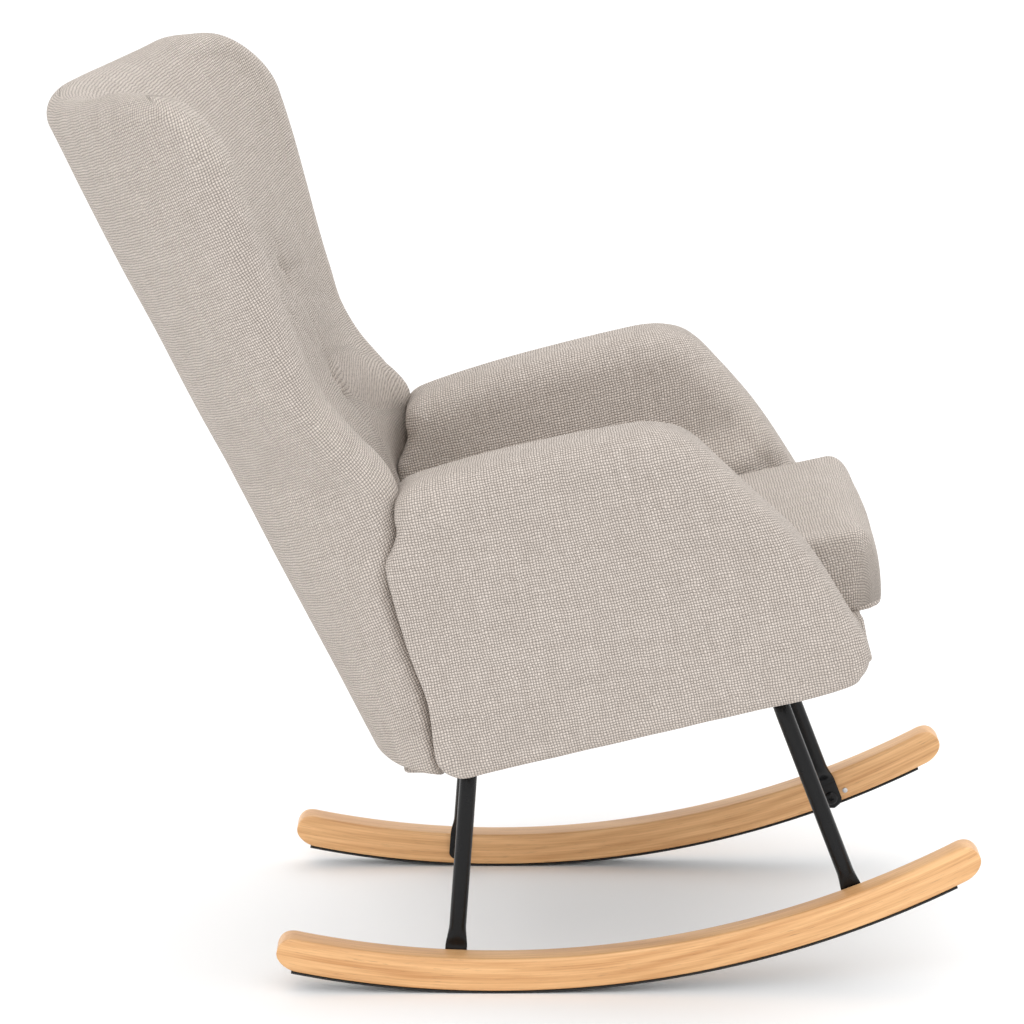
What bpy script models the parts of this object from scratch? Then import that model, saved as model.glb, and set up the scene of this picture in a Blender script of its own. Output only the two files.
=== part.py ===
"""Rocking chair: a tufted wing back chair on bent tube legs and two wooden rockers.

Metres, +Z up, the chair faces -Y and is symmetric about X = 0, and it stands at rest on z = 0.
Right and left are the sitter's. The seat frame, the arms and the cushion are laid out in the
seat's own tilted axes: x across, y towards the back, z square to the seat.
"""

from math import asin, atan, cos, pi, radians, sin, tan

import bmesh
import bpy
import numpy as np
from mathutils import Matrix, Vector

GAP = 0.0003
SIDES = {"right": -1, "left": 1}

# Rockers
ROCKER_RADIUS = 1.13
ROCKER_CONTACT_Y = 0.146
ROCKER_FACET = radians(2.2)
ROCKER_X = 0.235
ROCKER_WIDTH = 0.036
ROCKER_HEIGHT = 0.038
ROCKER_REAR_Y = 0.390
ROCKER_FRONT_Y = -0.390
ROCKER_EDGE = 0.003
STRIP_THICKNESS = 0.002
STRIP_REAR_Y = 0.3744
STRIP_FRONT_Y = -0.3664

# Legs
TUBE_RADIUS = 0.0095
TUBE_BEND = 0.040
FOOT_WIDTH = 0.0245
FOOT_THICKNESS = 0.005
FOOT_FLAT = 0.036
FOOT_TAPER = 0.028
FOOT_BELOW_BOLT = 0.013
FRONT_FOOT = (-0.2600, 0.0885)
REAR_FOOT = (0.1920, 0.0225)
FRONT_LEG_LEAN = 0.386
REAR_LEG_LEAN = -0.0725

# Seat
SEAT_TILT = radians(13.2)
SEAT_BASE_Z = 0.3117
RAIL_THICKNESS = 0.022
RAIL_HEIGHT = 0.060
SIDE_RAIL_FRONT = -0.250
SIDE_RAIL_REAR = 0.222
FRONT_RAIL_Y = -0.243
REAR_RAIL_Y = 0.1830
BATTEN_Y = -0.1715
BATTEN_DEPTH = 0.050
CUSHION_TOP = 0.158
CUSHION_BOTTOM = 0.0675
CUSHION_FRONT = -0.313
CUSHION_REAR = 0.176
CUSHION_GAP = 0.003
APRON_DEPTH = 0.022
APRON_HEIGHT = 0.054
DUST_COVER = 0.001
FELT = 0.0016
FELT_HEIGHT = 0.0652

# Arms
ARM_SPLAY = radians(3.4)
ARM_X = 0.275
ARM_THICKNESS = 0.120
ARM_BOARD = 0.018
ARM_BOARD_SIZE = (0.325, 0.136)
ARM_BOARD_HEIGHT = 0.082
POCKET_OVERRUN = 0.005
ARM_EDGE = 0.030
ARM_REAR = 0.2165
ARM_ROOM_HEIGHT = 0.345

# Back
REAR_BOTTOM = (0.275, 0.259)
REAR_LEAN = 0.545
BACK_TOP_Z = 0.972
BACK_BOTTOM_Z = 0.262
PAD_BOTTOM_Z = 0.365
PANEL_THICKNESS = 0.018
RIM_THICKNESS = 0.056
RIM_RISE = 0.033
PAD_THICKNESS = 0.128
POST_SIZE = 0.028
POST_X = 0.165
POST_BEHIND = 0.089
POST_LOW_Z = 0.268
POST_TOP_Z = 0.850
BACK_RAIL_HEIGHT = 0.045
RAIL_OVERRUN = 0.001
BACK_TOP_RAIL_Z = 0.815
BACK_LOWER_RAIL_Z = 0.440
BUTTON_RADIUS = 0.0125
BUTTON_DOME = 0.0048
BUTTON_SUNK = 0.0085
BUTTON_PLACES = [(-0.36, 0.700), (0.0, 0.700), (0.36, 0.700), (-0.33, 0.570), (0.33, 0.570)]

# The back's shape at a few heights: (z, size)
WING_HALF_WIDTH = [
    (0.262, 0.283), (0.45, 0.288), (0.57, 0.300), (0.74, 0.330), (0.90, 0.350), (0.98, 0.350),
]
WING_DEPTH = [
    (0.262, 0.052), (0.45, 0.108), (0.57, 0.150), (0.66, 0.154),
    (0.82, 0.176), (0.90, 0.198), (0.98, 0.212),
]
WING_OPENING = [(0.262, 88.0), (0.57, 80.0), (0.80, 62.0), (0.98, 54.0)]
SQUARENESS = [(0.262, 0.62), (0.57, 0.80), (0.80, 0.97), (0.98, 1.0)]
PAD_RISE = [(0.20, 1.0), (0.60, 1.0), (0.78, 0.98), (0.90, 0.55), (0.972, 0.0)]
CORNER = 0.075

# Fasteners
BOLT_RADIUS = 0.003
BOLT_CLEARANCE = 0.0033
WASHER_HEIGHT = 0.0012
INSERT_RADIUS = 0.0050
INSERT_LENGTH = 0.020
LOCK_SCREW_FORWARD = 0.0172
LOCK_SCREW_UP = 0.0088
LOCK_SCREW_RADIUS = 0.0016
SEAT_BOLT_X = 0.115
ARM_BOLT_Y = (-0.145, 0.105)
ARM_BOLT_HEIGHT = 0.030
BACK_BOLT_PLACE = (0.2050, 0.3000)

# Springs
SPRING_X = (-0.138, -0.046, 0.046, 0.138)
SPRING_WIRE = 0.0016
SPRING_SWING = 0.021
SPRING_TURNS = 9

# Derived
ROCKER_INNER = ROCKER_X - ROCKER_WIDTH / 2
FOOT_X = ROCKER_INNER - GAP - FOOT_THICKNESS / 2
LEG_X = ROCKER_INNER - GAP - TUBE_RADIUS


def clear_scene():
    for old in list(bpy.data.objects):
        bpy.data.objects.remove(old, do_unlink=True)


def collection(name, hidden=False):
    made = bpy.data.collections.new(name)
    bpy.context.scene.collection.children.link(made)
    made.hide_render = hidden
    return made


def material(name, colour, roughness, metallic=0.0):
    made = bpy.data.materials.get(name)
    if made:
        return made
    made = bpy.data.materials.new(name)
    made.use_nodes = True
    shader = made.node_tree.nodes["Principled BSDF"]
    shader.inputs["Base Color"].default_value = (*colour, 1.0)
    shader.inputs["Roughness"].default_value = roughness
    shader.inputs["Metallic"].default_value = metallic
    return made


FINISHES = {
    "upholstery": ((0.54, 0.47, 0.40), 0.90, 0.0),
    "rubberwood": ((0.70, 0.42, 0.21), 0.45, 0.0),
    "frame_wood": ((0.62, 0.45, 0.28), 0.70, 0.0),
    "black_tube": ((0.012, 0.012, 0.013), 0.35, 0.0),
    "black_bolt": ((0.015, 0.015, 0.016), 0.40, 0.0),
    "zinc": ((0.62, 0.62, 0.63), 0.30, 1.0),
    "spring_wire": ((0.20, 0.20, 0.21), 0.40, 1.0),
    "antislip": ((0.012, 0.012, 0.012), 0.85, 0.0),
    "lining": ((0.02, 0.02, 0.02), 0.95, 0.0),
    "label": ((0.72, 0.72, 0.70), 0.80, 0.0),
}


def finish(obj, name, slot):
    """Names the object and gives it a material of its own in one of the finishes."""
    obj.name = name
    obj.data.name = name
    colour, roughness, metallic = FINISHES[slot]
    obj.data.materials.clear()
    obj.data.materials.append(material(f"{name}_{slot}", colour, roughness, metallic))
    for owner in list(obj.users_collection):
        owner.objects.unlink(obj)
    CHAIR.objects.link(obj)
    return obj


def mesh_object(bm, name):
    bmesh.ops.recalc_face_normals(bm, faces=bm.faces)
    if bm.calc_volume(signed=True) < 0:
        bmesh.ops.reverse_faces(bm, faces=bm.faces)
    mesh = bpy.data.meshes.new(name)
    bm.to_mesh(mesh)
    bm.free()
    obj = bpy.data.objects.new(name, mesh)
    bpy.context.scene.collection.objects.link(obj)
    return obj


def baked(obj):
    """A mesh object with this object's modifiers and curve settings applied, in its place."""
    bpy.context.view_layer.update()
    graph = bpy.context.evaluated_depsgraph_get()
    mesh = bpy.data.meshes.new_from_object(obj.evaluated_get(graph))
    made = bpy.data.objects.new(obj.name, mesh)
    made.matrix_world = obj.matrix_world.copy()
    bpy.context.scene.collection.objects.link(made)
    bpy.data.objects.remove(obj, do_unlink=True)
    return made


def welded(obj):
    """Joins caps to walls, so that a Bevel or a Boolean finds one closed body."""
    bm = bmesh.new()
    bm.from_mesh(obj.data)
    bmesh.ops.remove_doubles(bm, verts=bm.verts, dist=1e-5)
    bmesh.ops.recalc_face_normals(bm, faces=bm.faces)
    bm.to_mesh(obj.data)
    bm.free()
    return obj


def bevel(obj, width, segments=2, angle=35):
    modifier = obj.modifiers.new("Bevel", "BEVEL")
    modifier.width = width
    modifier.segments = segments
    modifier.limit_method = "ANGLE"
    modifier.angle_limit = radians(angle)
    return obj


def cut(obj, cutter):
    """Subtracts a cutter, which is kept out of sight in its own collection."""
    for owner in list(cutter.users_collection):
        owner.objects.unlink(cutter)
    if cutter.name not in CUTTERS.objects:
        CUTTERS.objects.link(cutter)
    cutter.hide_render = True
    cutter.display_type = "WIRE"
    modifier = obj.modifiers.new("Cut", "BOOLEAN")
    modifier.operation = "DIFFERENCE"
    modifier.solver = "EXACT"
    modifier.object = cutter
    return obj


def box(size, matrix):
    bm = bmesh.new()
    bmesh.ops.create_cube(bm, size=1.0, matrix=Matrix.Diagonal((*size, 1.0)))
    obj = mesh_object(bm, "box")
    obj.matrix_world = matrix
    return obj


def cylinder(radius, length, matrix, segments=20):
    """Along the matrix's own Z, with its middle at the matrix's place."""
    bm = bmesh.new()
    bmesh.ops.create_cone(
        bm, cap_ends=True, segments=segments, radius1=radius, radius2=radius, depth=length
    )
    obj = mesh_object(bm, "cylinder")
    obj.matrix_world = matrix
    return obj


def flat_outline(points, thickness, matrix):
    """A closed 2D outline in the matrix's XY plane, thickened evenly along its Z."""
    data = bpy.data.curves.new("outline", "CURVE")
    data.dimensions = "2D"
    data.fill_mode = "BOTH"
    data.extrude = thickness / 2
    spline = data.splines.new("POLY")
    spline.points.add(len(points) - 1)
    for point, (u, v) in zip(spline.points, points):
        point.co = (u, v, 0.0, 1.0)
    spline.use_cyclic_u = True
    obj = bpy.data.objects.new("outline", data)
    bpy.context.scene.collection.objects.link(obj)
    obj.matrix_world = matrix
    return welded(baked(obj))


def wire(points, radius, resolution=2):
    data = bpy.data.curves.new("wire", "CURVE")
    data.dimensions = "3D"
    data.bevel_depth = radius
    data.bevel_resolution = resolution
    data.use_fill_caps = True
    spline = data.splines.new("POLY")
    spline.points.add(len(points) - 1)
    for point, place in zip(spline.points, points):
        point.co = (*place, 1.0)
    obj = bpy.data.objects.new("wire", data)
    bpy.context.scene.collection.objects.link(obj)
    return welded(baked(obj))


def arc(centre, radius, start, end, steps):
    """Points on a circle, from one angle to another, both in degrees."""
    return [
        (centre[0] + radius * cos(radians(a)), centre[1] + radius * sin(radians(a)))
        for a in np.linspace(start, end, steps)
    ]


def side_plane(x):
    """Local X, Y and Z laid along the world's Y, Z and X: a side view."""
    turn = Matrix(((0, 0, 1), (1, 0, 0), (0, 1, 0)))
    return Matrix.Translation((x, 0, 0)) @ turn.to_4x4()


def seat_axes():
    return Matrix.Translation((0, 0, SEAT_BASE_Z)) @ Matrix.Rotation(-SEAT_TILT, 4, "X")


def arm_axes(side):
    """The seat's axes moved to the arm's middle and splayed, wider at the front."""
    place = Matrix.Translation((side * ARM_X, 0, 0))
    return seat_axes() @ place @ Matrix.Rotation(side * ARM_SPLAY, 4, "Z")


def in_seat(x, y, z):
    return seat_axes() @ Matrix.Translation((x, y, z))


# ---------------------------------------------------------------- rockers


def rocker_point(depth, angle):
    """A (y, z) point this far inside the rolling circle; the angle opens towards the back."""
    radius = ROCKER_RADIUS - depth
    height = ROCKER_RADIUS * cos(ROCKER_FACET / 2)
    return ROCKER_CONTACT_Y + radius * sin(angle), height - radius * cos(angle)


def rocker_angles(rear_y, front_y):
    """Facet corners from back to front, with the middle of one facet on the floor."""
    rear = asin((rear_y - ROCKER_CONTACT_Y) / ROCKER_RADIUS)
    front = asin((front_y - ROCKER_CONTACT_Y) / ROCKER_RADIUS)
    steps = np.arange(-40, 41) + 0.5
    inner = [a for a in steps * ROCKER_FACET if front + 0.004 < a < rear - 0.004]
    return [rear, *inner[::-1], front]


def rocker_outline():
    """Bottom and top arcs joined by round ends."""
    half = ROCKER_HEIGHT / 2
    skin = STRIP_THICKNESS + GAP
    reach = ROCKER_RADIUS / (ROCKER_RADIUS - skin - half)
    rear_y = ROCKER_CONTACT_Y + (ROCKER_REAR_Y - half - ROCKER_CONTACT_Y) * reach
    front_y = ROCKER_CONTACT_Y + (ROCKER_FRONT_Y + half - ROCKER_CONTACT_Y) * reach
    angles = rocker_angles(rear_y, front_y)
    bottom = [rocker_point(skin, a) for a in angles]
    top = [rocker_point(skin + ROCKER_HEIGHT, a) for a in reversed(angles)]
    ends = []
    for angle, way in ((angles[-1], -1), (angles[0], 1)):
        middle = rocker_point(skin + half, angle)
        start = -90 + np.degrees(angle)
        turn = [start + way * a for a in (30, 60, 90, 120, 150)]
        if way > 0:
            turn.reverse()
        ends.append([arc(middle, half, a, a, 1)[0] for a in turn])
    return [*bottom, *ends[0], *top, *ends[1]]


def strip_outline():
    angles = rocker_angles(STRIP_REAR_Y, STRIP_FRONT_Y)
    outer = [rocker_point(0.0, a) for a in angles]
    inner = [rocker_point(STRIP_THICKNESS, a) for a in reversed(angles)]
    return [*outer, *inner]


def across(x, y, z):
    """Local Z along the world's X."""
    return Matrix.Translation((x, y, z)) @ Matrix.Rotation(pi / 2, 4, "Y")


def make_rockers():
    for name, side in SIDES.items():
        rocker = flat_outline(rocker_outline(), ROCKER_WIDTH, side_plane(side * ROCKER_X))
        bevel(rocker, ROCKER_EDGE, 2, 60)
        for y, z in (FRONT_FOOT, REAR_FOOT):
            hole = across(side * (ROCKER_INNER + 0.011), y, z)
            cut(rocker, cylinder(INSERT_RADIUS + GAP, 0.026, hole))
        y, z = lock_screw_place()
        pilot = across(side * (ROCKER_INNER + 0.008), y, z)
        cut(rocker, cylinder(LOCK_SCREW_RADIUS + GAP, 0.020, pilot, 12))
        finish(rocker, f"rocker_{name}", "rubberwood")
        strip = flat_outline(strip_outline(), ROCKER_WIDTH - 0.002, side_plane(side * ROCKER_X))
        finish(strip, f"antislip_strip_{name}", "antislip")




def lock_screw_place():
    """Just in front of the front foot plate, a little above its bolt."""
    return FRONT_FOOT[0] - LOCK_SCREW_FORWARD, FRONT_FOOT[1] + LOCK_SCREW_UP


# ---------------------------------------------------------------- legs


def leg_path(foot, lean, cross_z):
    """Half of a frame, from the foot's end up to the bend and in to the middle."""
    along = Vector((0, lean, 1)).normalized()
    bolt = Vector((LEG_X, *foot))
    start = bolt - along * FOOT_BELOW_BOLT
    corner = bolt + along * ((cross_z - foot[1]) / along.z)
    inwards = Vector((-1, 0, 0))
    centre = corner - along * TUBE_BEND + inwards * TUBE_BEND
    flat_end = bolt + along * (FOOT_FLAT - FOOT_BELOW_BOLT)
    steps = [start, start + along * 0.006, bolt, flat_end - along * 0.008, flat_end]
    steps += [flat_end + along * FOOT_TAPER * k for k in (0.25, 0.5, 0.75, 1.0)]
    for angle in np.linspace(0, 90, 7):
        a = radians(angle)
        steps.append(centre - inwards * TUBE_BEND * cos(a) + along * TUBE_BEND * sin(a))
    return steps


def flatten_ends(obj, foot, lean):
    """Squeezes the tube against the rocker near its ends and spreads it to keep its girth."""
    along = Vector((0, lean, 1)).normalized()
    wide = Vector((0, along.z, -along.y))
    for vertex in obj.data.vertices:
        side = 1 if vertex.co.x > 0 else -1
        middle = Vector((side * LEG_X, *foot))
        offset = vertex.co - middle
        height = offset.dot(along) + FOOT_BELOW_BOLT
        if height > FOOT_FLAT + FOOT_TAPER:
            continue
        blend = min(max((height - FOOT_FLAT) / FOOT_TAPER, 0.0), 1.0)
        blend = blend * blend * (3 - 2 * blend)
        thin = FOOT_THICKNESS / (2 * TUBE_RADIUS)
        broad = FOOT_WIDTH / (2 * TUBE_RADIUS)
        round_end = 1.0
        if height < 0.006:
            round_end = 0.62 if height < 0.003 else 0.90
        shift = side * (ROCKER_INNER - GAP - FOOT_THICKNESS / 2 - LEG_X)
        x = offset.x * (thin + (1 - thin) * blend) + shift * (1 - blend)
        spread = offset.dot(wide) * (broad + (1 - broad) * blend) * round_end
        vertex.co = middle + Vector((x, 0, 0)) + wide * spread + along * (height - FOOT_BELOW_BOLT)


def make_leg_frame(name, foot, lean, cross_z):
    half = leg_path(foot, lean, cross_z)
    path = half + [Vector((-p.x, p.y, p.z)) for p in reversed(half)]
    frame = wire(path, TUBE_RADIUS, 3)
    flatten_ends(frame, foot, lean)
    for side in SIDES.values():
        cut(frame, cylinder(BOLT_CLEARANCE, 0.03, across(side * FOOT_X, *foot), 16))
    return frame


def cross_height(foot, lean):
    """Where the leg's line meets the middle of a tube that lies just under the dust cover."""
    below = TUBE_RADIUS + DUST_COVER + 2 * GAP
    base = SEAT_BASE_Z - below / cos(SEAT_TILT)
    slope = tan(SEAT_TILT)
    y, z = foot
    return (base - slope * (y - lean * z)) / (1 + slope * lean)


def bolt(name, shank, length, head_radius, head_height, matrix, slot="black_bolt", recess=0.0035):
    """A washer-head bolt along the matrix's Z, with the underside of its head at the origin."""
    bm = bmesh.new()
    bmesh.ops.create_cone(
        bm, cap_ends=True, segments=20, radius1=shank, radius2=shank, depth=length,
        matrix=Matrix.Translation((0, 0, length / 2 - 0.0005)),
    )
    body = mesh_object(bm, "shank")
    profile = [(0, 0), (head_radius, 0), (head_radius, -WASHER_HEIGHT)]
    dome = head_height - WASHER_HEIGHT
    for angle in (25, 55, 90):
        a = radians(angle)
        profile.append((head_radius * 0.94 * cos(a), -WASHER_HEIGHT - dome * sin(a)))
    rim = bpy.data.meshes.new("head")
    edges = [(i, i + 1) for i in range(len(profile) - 1)]
    rim.from_pydata([(x, 0, z) for x, z in profile], edges, [])
    head = bpy.data.objects.new("head", rim)
    bpy.context.scene.collection.objects.link(head)
    screw = head.modifiers.new("Screw", "SCREW")
    screw.steps = screw.render_steps = 24
    screw.use_merge_vertices = True
    screw.merge_threshold = 0.0001
    screw.use_normal_calculate = True
    head = welded(baked(head))
    join = head.modifiers.new("Join", "BOOLEAN")
    join.operation = "UNION"
    join.solver = "EXACT"
    join.object = body
    if recess:
        for turn in (0, pi / 2):
            place = Matrix.Translation((0, 0, -head_height)) @ Matrix.Rotation(turn, 4, "Z")
            cut(head, box((head_radius * 0.72, 0.0016, 2 * recess), place))
    made = baked(head)
    bpy.data.objects.remove(body, do_unlink=True)
    made.matrix_world = matrix
    return finish(made, name, slot)


def towards(side, x, y, z):
    """Local Z pointing outwards along X on this side."""
    return Matrix.Translation((side * x, y, z)) @ Matrix.Rotation(side * pi / 2, 4, "Y")


def make_feet():
    for name, side in SIDES.items():
        for where, (y, z) in (("front", FRONT_FOOT), ("rear", REAR_FOOT)):
            start = ROCKER_INNER - 2 * GAP - FOOT_THICKNESS
            bolt(f"foot_bolt_{where}_{name}", BOLT_RADIUS, 0.022, 0.0080, 0.0042,
                 towards(side, start, y, z))
            sleeve = cylinder(
                INSERT_RADIUS, INSERT_LENGTH,
                across(side * (ROCKER_INNER + 0.001 + INSERT_LENGTH / 2), y, z), 18,
            )
            cut(sleeve, cylinder(BOLT_CLEARANCE, 0.04, across(side * ROCKER_INNER, y, z), 16))
            finish(sleeve, f"threaded_insert_{where}_{name}", "zinc")
        y, z = lock_screw_place()
        bolt(f"lock_screw_{name}", LOCK_SCREW_RADIUS, 0.014, 0.0031, 0.0020,
             towards(side, ROCKER_INNER - GAP, y, z), "zinc", 0.0008)


def make_legs():
    """Both tube frames, and the four bolts that hold the seat on them."""
    holes = []
    for where, foot, lean, seat_y in (
        ("front", FRONT_FOOT, FRONT_LEG_LEAN, BATTEN_Y),
        ("rear", REAR_FOOT, REAR_LEG_LEAN, REAR_RAIL_Y),
    ):
        frame = make_leg_frame(where, foot, lean, cross_height(foot, lean))
        for name, side in SIDES.items():
            x = side * SEAT_BOLT_X
            hole = cylinder(BOLT_CLEARANCE, 0.080, in_seat(x, seat_y, -0.012), 16)
            holes.append(hole)
            cut(frame, hole)
            under = -(2 * TUBE_RADIUS + DUST_COVER + 3 * GAP)
            bolt(f"seat_bolt_{where}_{name}", BOLT_RADIUS, 0.036, 0.0065, 0.0038,
                 in_seat(x, seat_y, under))
        finish(frame, f"leg_frame_{where}", "black_tube")
    return holes


# ---------------------------------------------------------------- seat


def rail_inner_x(y):
    """The inner face of a side rail, across the seat at this y."""
    inwards = ARM_THICKNESS / 2 + GAP + RAIL_THICKNESS
    return ARM_X - y * tan(ARM_SPLAY) - inwards / cos(ARM_SPLAY)


def make_seat_frame(holes):
    for name, side in SIDES.items():
        axes = arm_axes(side)
        x = side * (-ARM_THICKNESS / 2 - GAP - RAIL_THICKNESS / 2)
        y = (SIDE_RAIL_REAR + SIDE_RAIL_FRONT) / 2
        middle = axes @ Matrix.Translation((x, y, RAIL_HEIGHT / 2))
        rail = box((RAIL_THICKNESS, SIDE_RAIL_REAR - SIDE_RAIL_FRONT, RAIL_HEIGHT), middle)
        for y in ARM_BOLT_Y:
            cut(rail, cylinder(BOLT_CLEARANCE, 0.06, arm_bolt_axes(side, y, 0.0), 16))
        cut(rail, back_bolt_hole(side))
        finish(rail, f"seat_rail_{name}", "frame_wood")
    front_half = rail_inner_x(FRONT_RAIL_Y + RAIL_THICKNESS / 2) - 2 * GAP
    batten_half = rail_inner_x(BATTEN_Y + BATTEN_DEPTH / 2) - 2 * GAP
    rear_half = POST_X - POST_SIZE / 2 - GAP
    for name, half, y, deep, height, bored in (
        ("seat_rail_front", front_half, FRONT_RAIL_Y, RAIL_THICKNESS, RAIL_HEIGHT, []),
        ("seat_rail_rear", rear_half, REAR_RAIL_Y, RAIL_THICKNESS, RAIL_HEIGHT, holes[2:]),
        ("leg_batten", batten_half, BATTEN_Y, BATTEN_DEPTH, RAIL_THICKNESS, holes[:2]),
    ):
        rail = box((2 * half, deep, height), in_seat(0, y, height / 2))
        for hole in bored:
            cut(rail, hole)
        finish(rail, name, "frame_wood")
    cover = trapezoid_sheet(-0.255, 0.190, DUST_COVER, -GAP - DUST_COVER / 2, 0.010)
    for hole in holes:
        cut(cover, hole)
    finish(cover, "dust_cover", "lining")
    felt = trapezoid_sheet(-0.255, 0.172, FELT, FELT_HEIGHT, -0.002)
    finish(felt, "spring_cover_felt", "lining")


def trapezoid_sheet(front, rear, thickness, height, over):
    """A thin sheet that follows the side rails, reaching this far over them."""
    half_front = rail_inner_x(front) + over
    half_rear = rail_inner_x(rear) + over
    outline = [(-half_rear, rear), (-half_front, front), (half_front, front), (half_rear, rear)]
    return flat_outline(outline, thickness, in_seat(0, 0, height))




def make_springs():
    """Sinuous springs that lie on the front and rear rails."""
    for number, x in enumerate(SPRING_X, 1):
        along = np.linspace(FRONT_RAIL_Y, REAR_RAIL_Y, SPRING_TURNS * 8 + 1)
        phase = np.linspace(0, SPRING_TURNS * pi, len(along))
        swing = SPRING_SWING * np.tanh(2.2 * np.sin(phase)) / np.tanh(2.2)
        height = RAIL_HEIGHT + GAP + SPRING_WIRE
        points = [seat_axes() @ Vector((x + s, y, height)) for s, y in zip(swing, along)]
        finish(wire(points, SPRING_WIRE, 1), f"seat_spring_{number}", "spring_wire")


def along_outline(points, share):
    """The place this share of the way along an open outline."""
    points = [Vector(p) for p in points]
    steps = [(b - a).length for a, b in zip(points, points[1:])]
    left = share * sum(steps)
    for start, end, step in zip(points, points[1:], steps):
        if left <= step:
            return start.lerp(end, left / step)
        left -= step
    return points[-1]


def make_cushion():
    """A domed top that rolls over the front rail, widening towards the front."""
    top, low, front, rear = CUSHION_TOP, CUSHION_BOTTOM, CUSHION_FRONT, CUSHION_REAR
    under = [(rear, low), (-0.258, low), (-0.266, low), (-0.284, 0.0575)]
    over = [
        (rear, top - 0.004), (0.060, top), (-0.160, top),
        *arc((front + 0.062, top - 0.062), 0.062, 90, 180, 6), (front + 0.003, 0.070),
        *arc((-0.292, 0.064), 0.014, 195, 245, 3),
    ]
    bm = bmesh.new()
    bmesh.ops.create_grid(bm, x_segments=18, y_segments=22, size=1.0)
    raised = bmesh.ops.extrude_face_region(bm, geom=list(bm.faces))
    for vertex in raised["geom"]:
        if isinstance(vertex, bmesh.types.BMVert):
            vertex.co.z = 1.0
    for vertex in bm.verts:
        share, along, layer = vertex.co
        below = along_outline(under, (along + 1) / 2)
        above = along_outline(over, (along + 1) / 2)
        fullness = 0.20 + 0.80 * (1 - share**4) ** 0.625
        y, z = below.lerp(above, layer * fullness)
        half = ARM_X - y * tan(ARM_SPLAY) - ARM_THICKNESS / 2 - CUSHION_GAP
        vertex.co = seat_axes() @ Vector((share * half, y, z))
    finish(bevel(mesh_object(bm, "cushion"), 0.004, 1, 60), "seat_cushion", "upholstery")
    width = 2 * (rail_inner_x(FRONT_RAIL_Y) + RAIL_THICKNESS)
    y = SIDE_RAIL_FRONT - 0.0045 - APRON_DEPTH / 2
    apron = box((width, APRON_DEPTH, APRON_HEIGHT), in_seat(0, y, APRON_HEIGHT / 2))
    bevel(apron, 0.006, 2)
    finish(apron, "front_apron", "upholstery")


# ---------------------------------------------------------------- arms



def arm_outline():
    """The arm's side view in the seat's axes: y towards the back, z up."""
    return [
        *arc((-0.236, 0.036), 0.036, 270, 190, 5),
        (-0.268, 0.075), (-0.243, 0.146), (-0.214, 0.206),
        *arc((-0.104, 0.262), 0.068, 152, 92, 5),
        (0.020, 0.331), (0.110, 0.328),
        *arc((0.166, 0.299), 0.023, 82, 0, 4),
        (0.190, 0.278), (0.203, 0.262), (0.213, 0.245), (0.214, 0.200),
        (0.206, 0.090), (0.209, 0.030),
        *arc((0.183, 0.026), 0.026, 0, -90, 4),
    ]


def arm_bolt_axes(side, y, out):
    """Local Z pointing outwards, at this distance from the arm's inner face."""
    axes = arm_axes(side)
    place = Matrix.Translation((side * (-ARM_THICKNESS / 2 + out), y, ARM_BOLT_HEIGHT))
    return axes @ place @ Matrix.Rotation(side * pi / 2, 4, "Y")


def make_arms():
    turn = Matrix(((0, 0, 1), (1, 0, 0), (0, 1, 0))).to_4x4()
    for name, side in SIDES.items():
        axes = arm_axes(side)
        arm = flat_outline(arm_outline(), ARM_THICKNESS, axes @ turn)
        bevel(arm, ARM_EDGE, 4, 50)
        inner = side * (-ARM_THICKNESS / 2 + ARM_BOARD / 2)
        place = axes @ Matrix.Translation((inner, 0.0, ARM_BOARD_HEIGHT))
        thick, deep, high = ARM_BOARD, *ARM_BOARD_SIZE
        room = (thick + 2 * (POCKET_OVERRUN + GAP), deep + 2 * GAP, high + 2 * GAP)
        cut(arm, box(room, place @ Matrix.Translation((-side * POCKET_OVERRUN, 0, 0))))
        board = box((thick, deep, high), place)
        for y in ARM_BOLT_Y:
            cut(board, cylinder(BOLT_CLEARANCE, 0.030, arm_bolt_axes(side, y, 0.0), 16))
            where = "front" if y < 0 else "rear"
            bolt(f"arm_bolt_{where}_{name}", BOLT_RADIUS, 0.034, 0.0065, 0.0038,
                 arm_bolt_axes(side, y, -RAIL_THICKNESS - 2 * GAP))
        finish(board, f"arm_board_{name}", "frame_wood")
        finish(arm, f"arm_{name}", "upholstery")


# ---------------------------------------------------------------- back


def smooth(points, value):
    """A smooth curve through a few (position, size) points, read at any positions."""
    places, sizes = np.array(points).T
    slopes = np.gradient(sizes, places)
    value = np.clip(value, places[0], places[-1])
    i = np.clip(np.searchsorted(places, value) - 1, 0, len(places) - 2)
    span = places[i + 1] - places[i]
    u = (value - places[i]) / span
    start, end = sizes[i], sizes[i + 1]
    return (
        start * (2 * u**3 - 3 * u**2 + 1)
        + end * (3 * u**2 - 2 * u**3)
        + slopes[i] * span * (u**3 - 2 * u**2 + u)
        + slopes[i + 1] * span * (u**3 - u**2)
    )




def rear_y(z):
    bend = np.clip((z - 0.80) / 0.17, 0, 1)
    return REAR_BOTTOM[0] + REAR_LEAN * (z - REAR_BOTTOM[1]) - 0.013 * bend**2


def back_surface(across_share, z):
    """The outer surface: a bowed section at each height, from rear middle to wing edge."""
    t = np.abs(across_share)
    opening = np.radians(smooth(WING_OPENING, z))
    power = smooth(SQUARENESS, z)
    x = smooth(WING_HALF_WIDTH, z) * (np.sin(opening * t) / np.sin(opening)) ** power
    drop = smooth(WING_DEPTH, z) * (1 - np.cos(opening * t)) / (1 - np.cos(opening))
    return np.array([np.sign(across_share) * x, rear_y(z) - drop, z])


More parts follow.
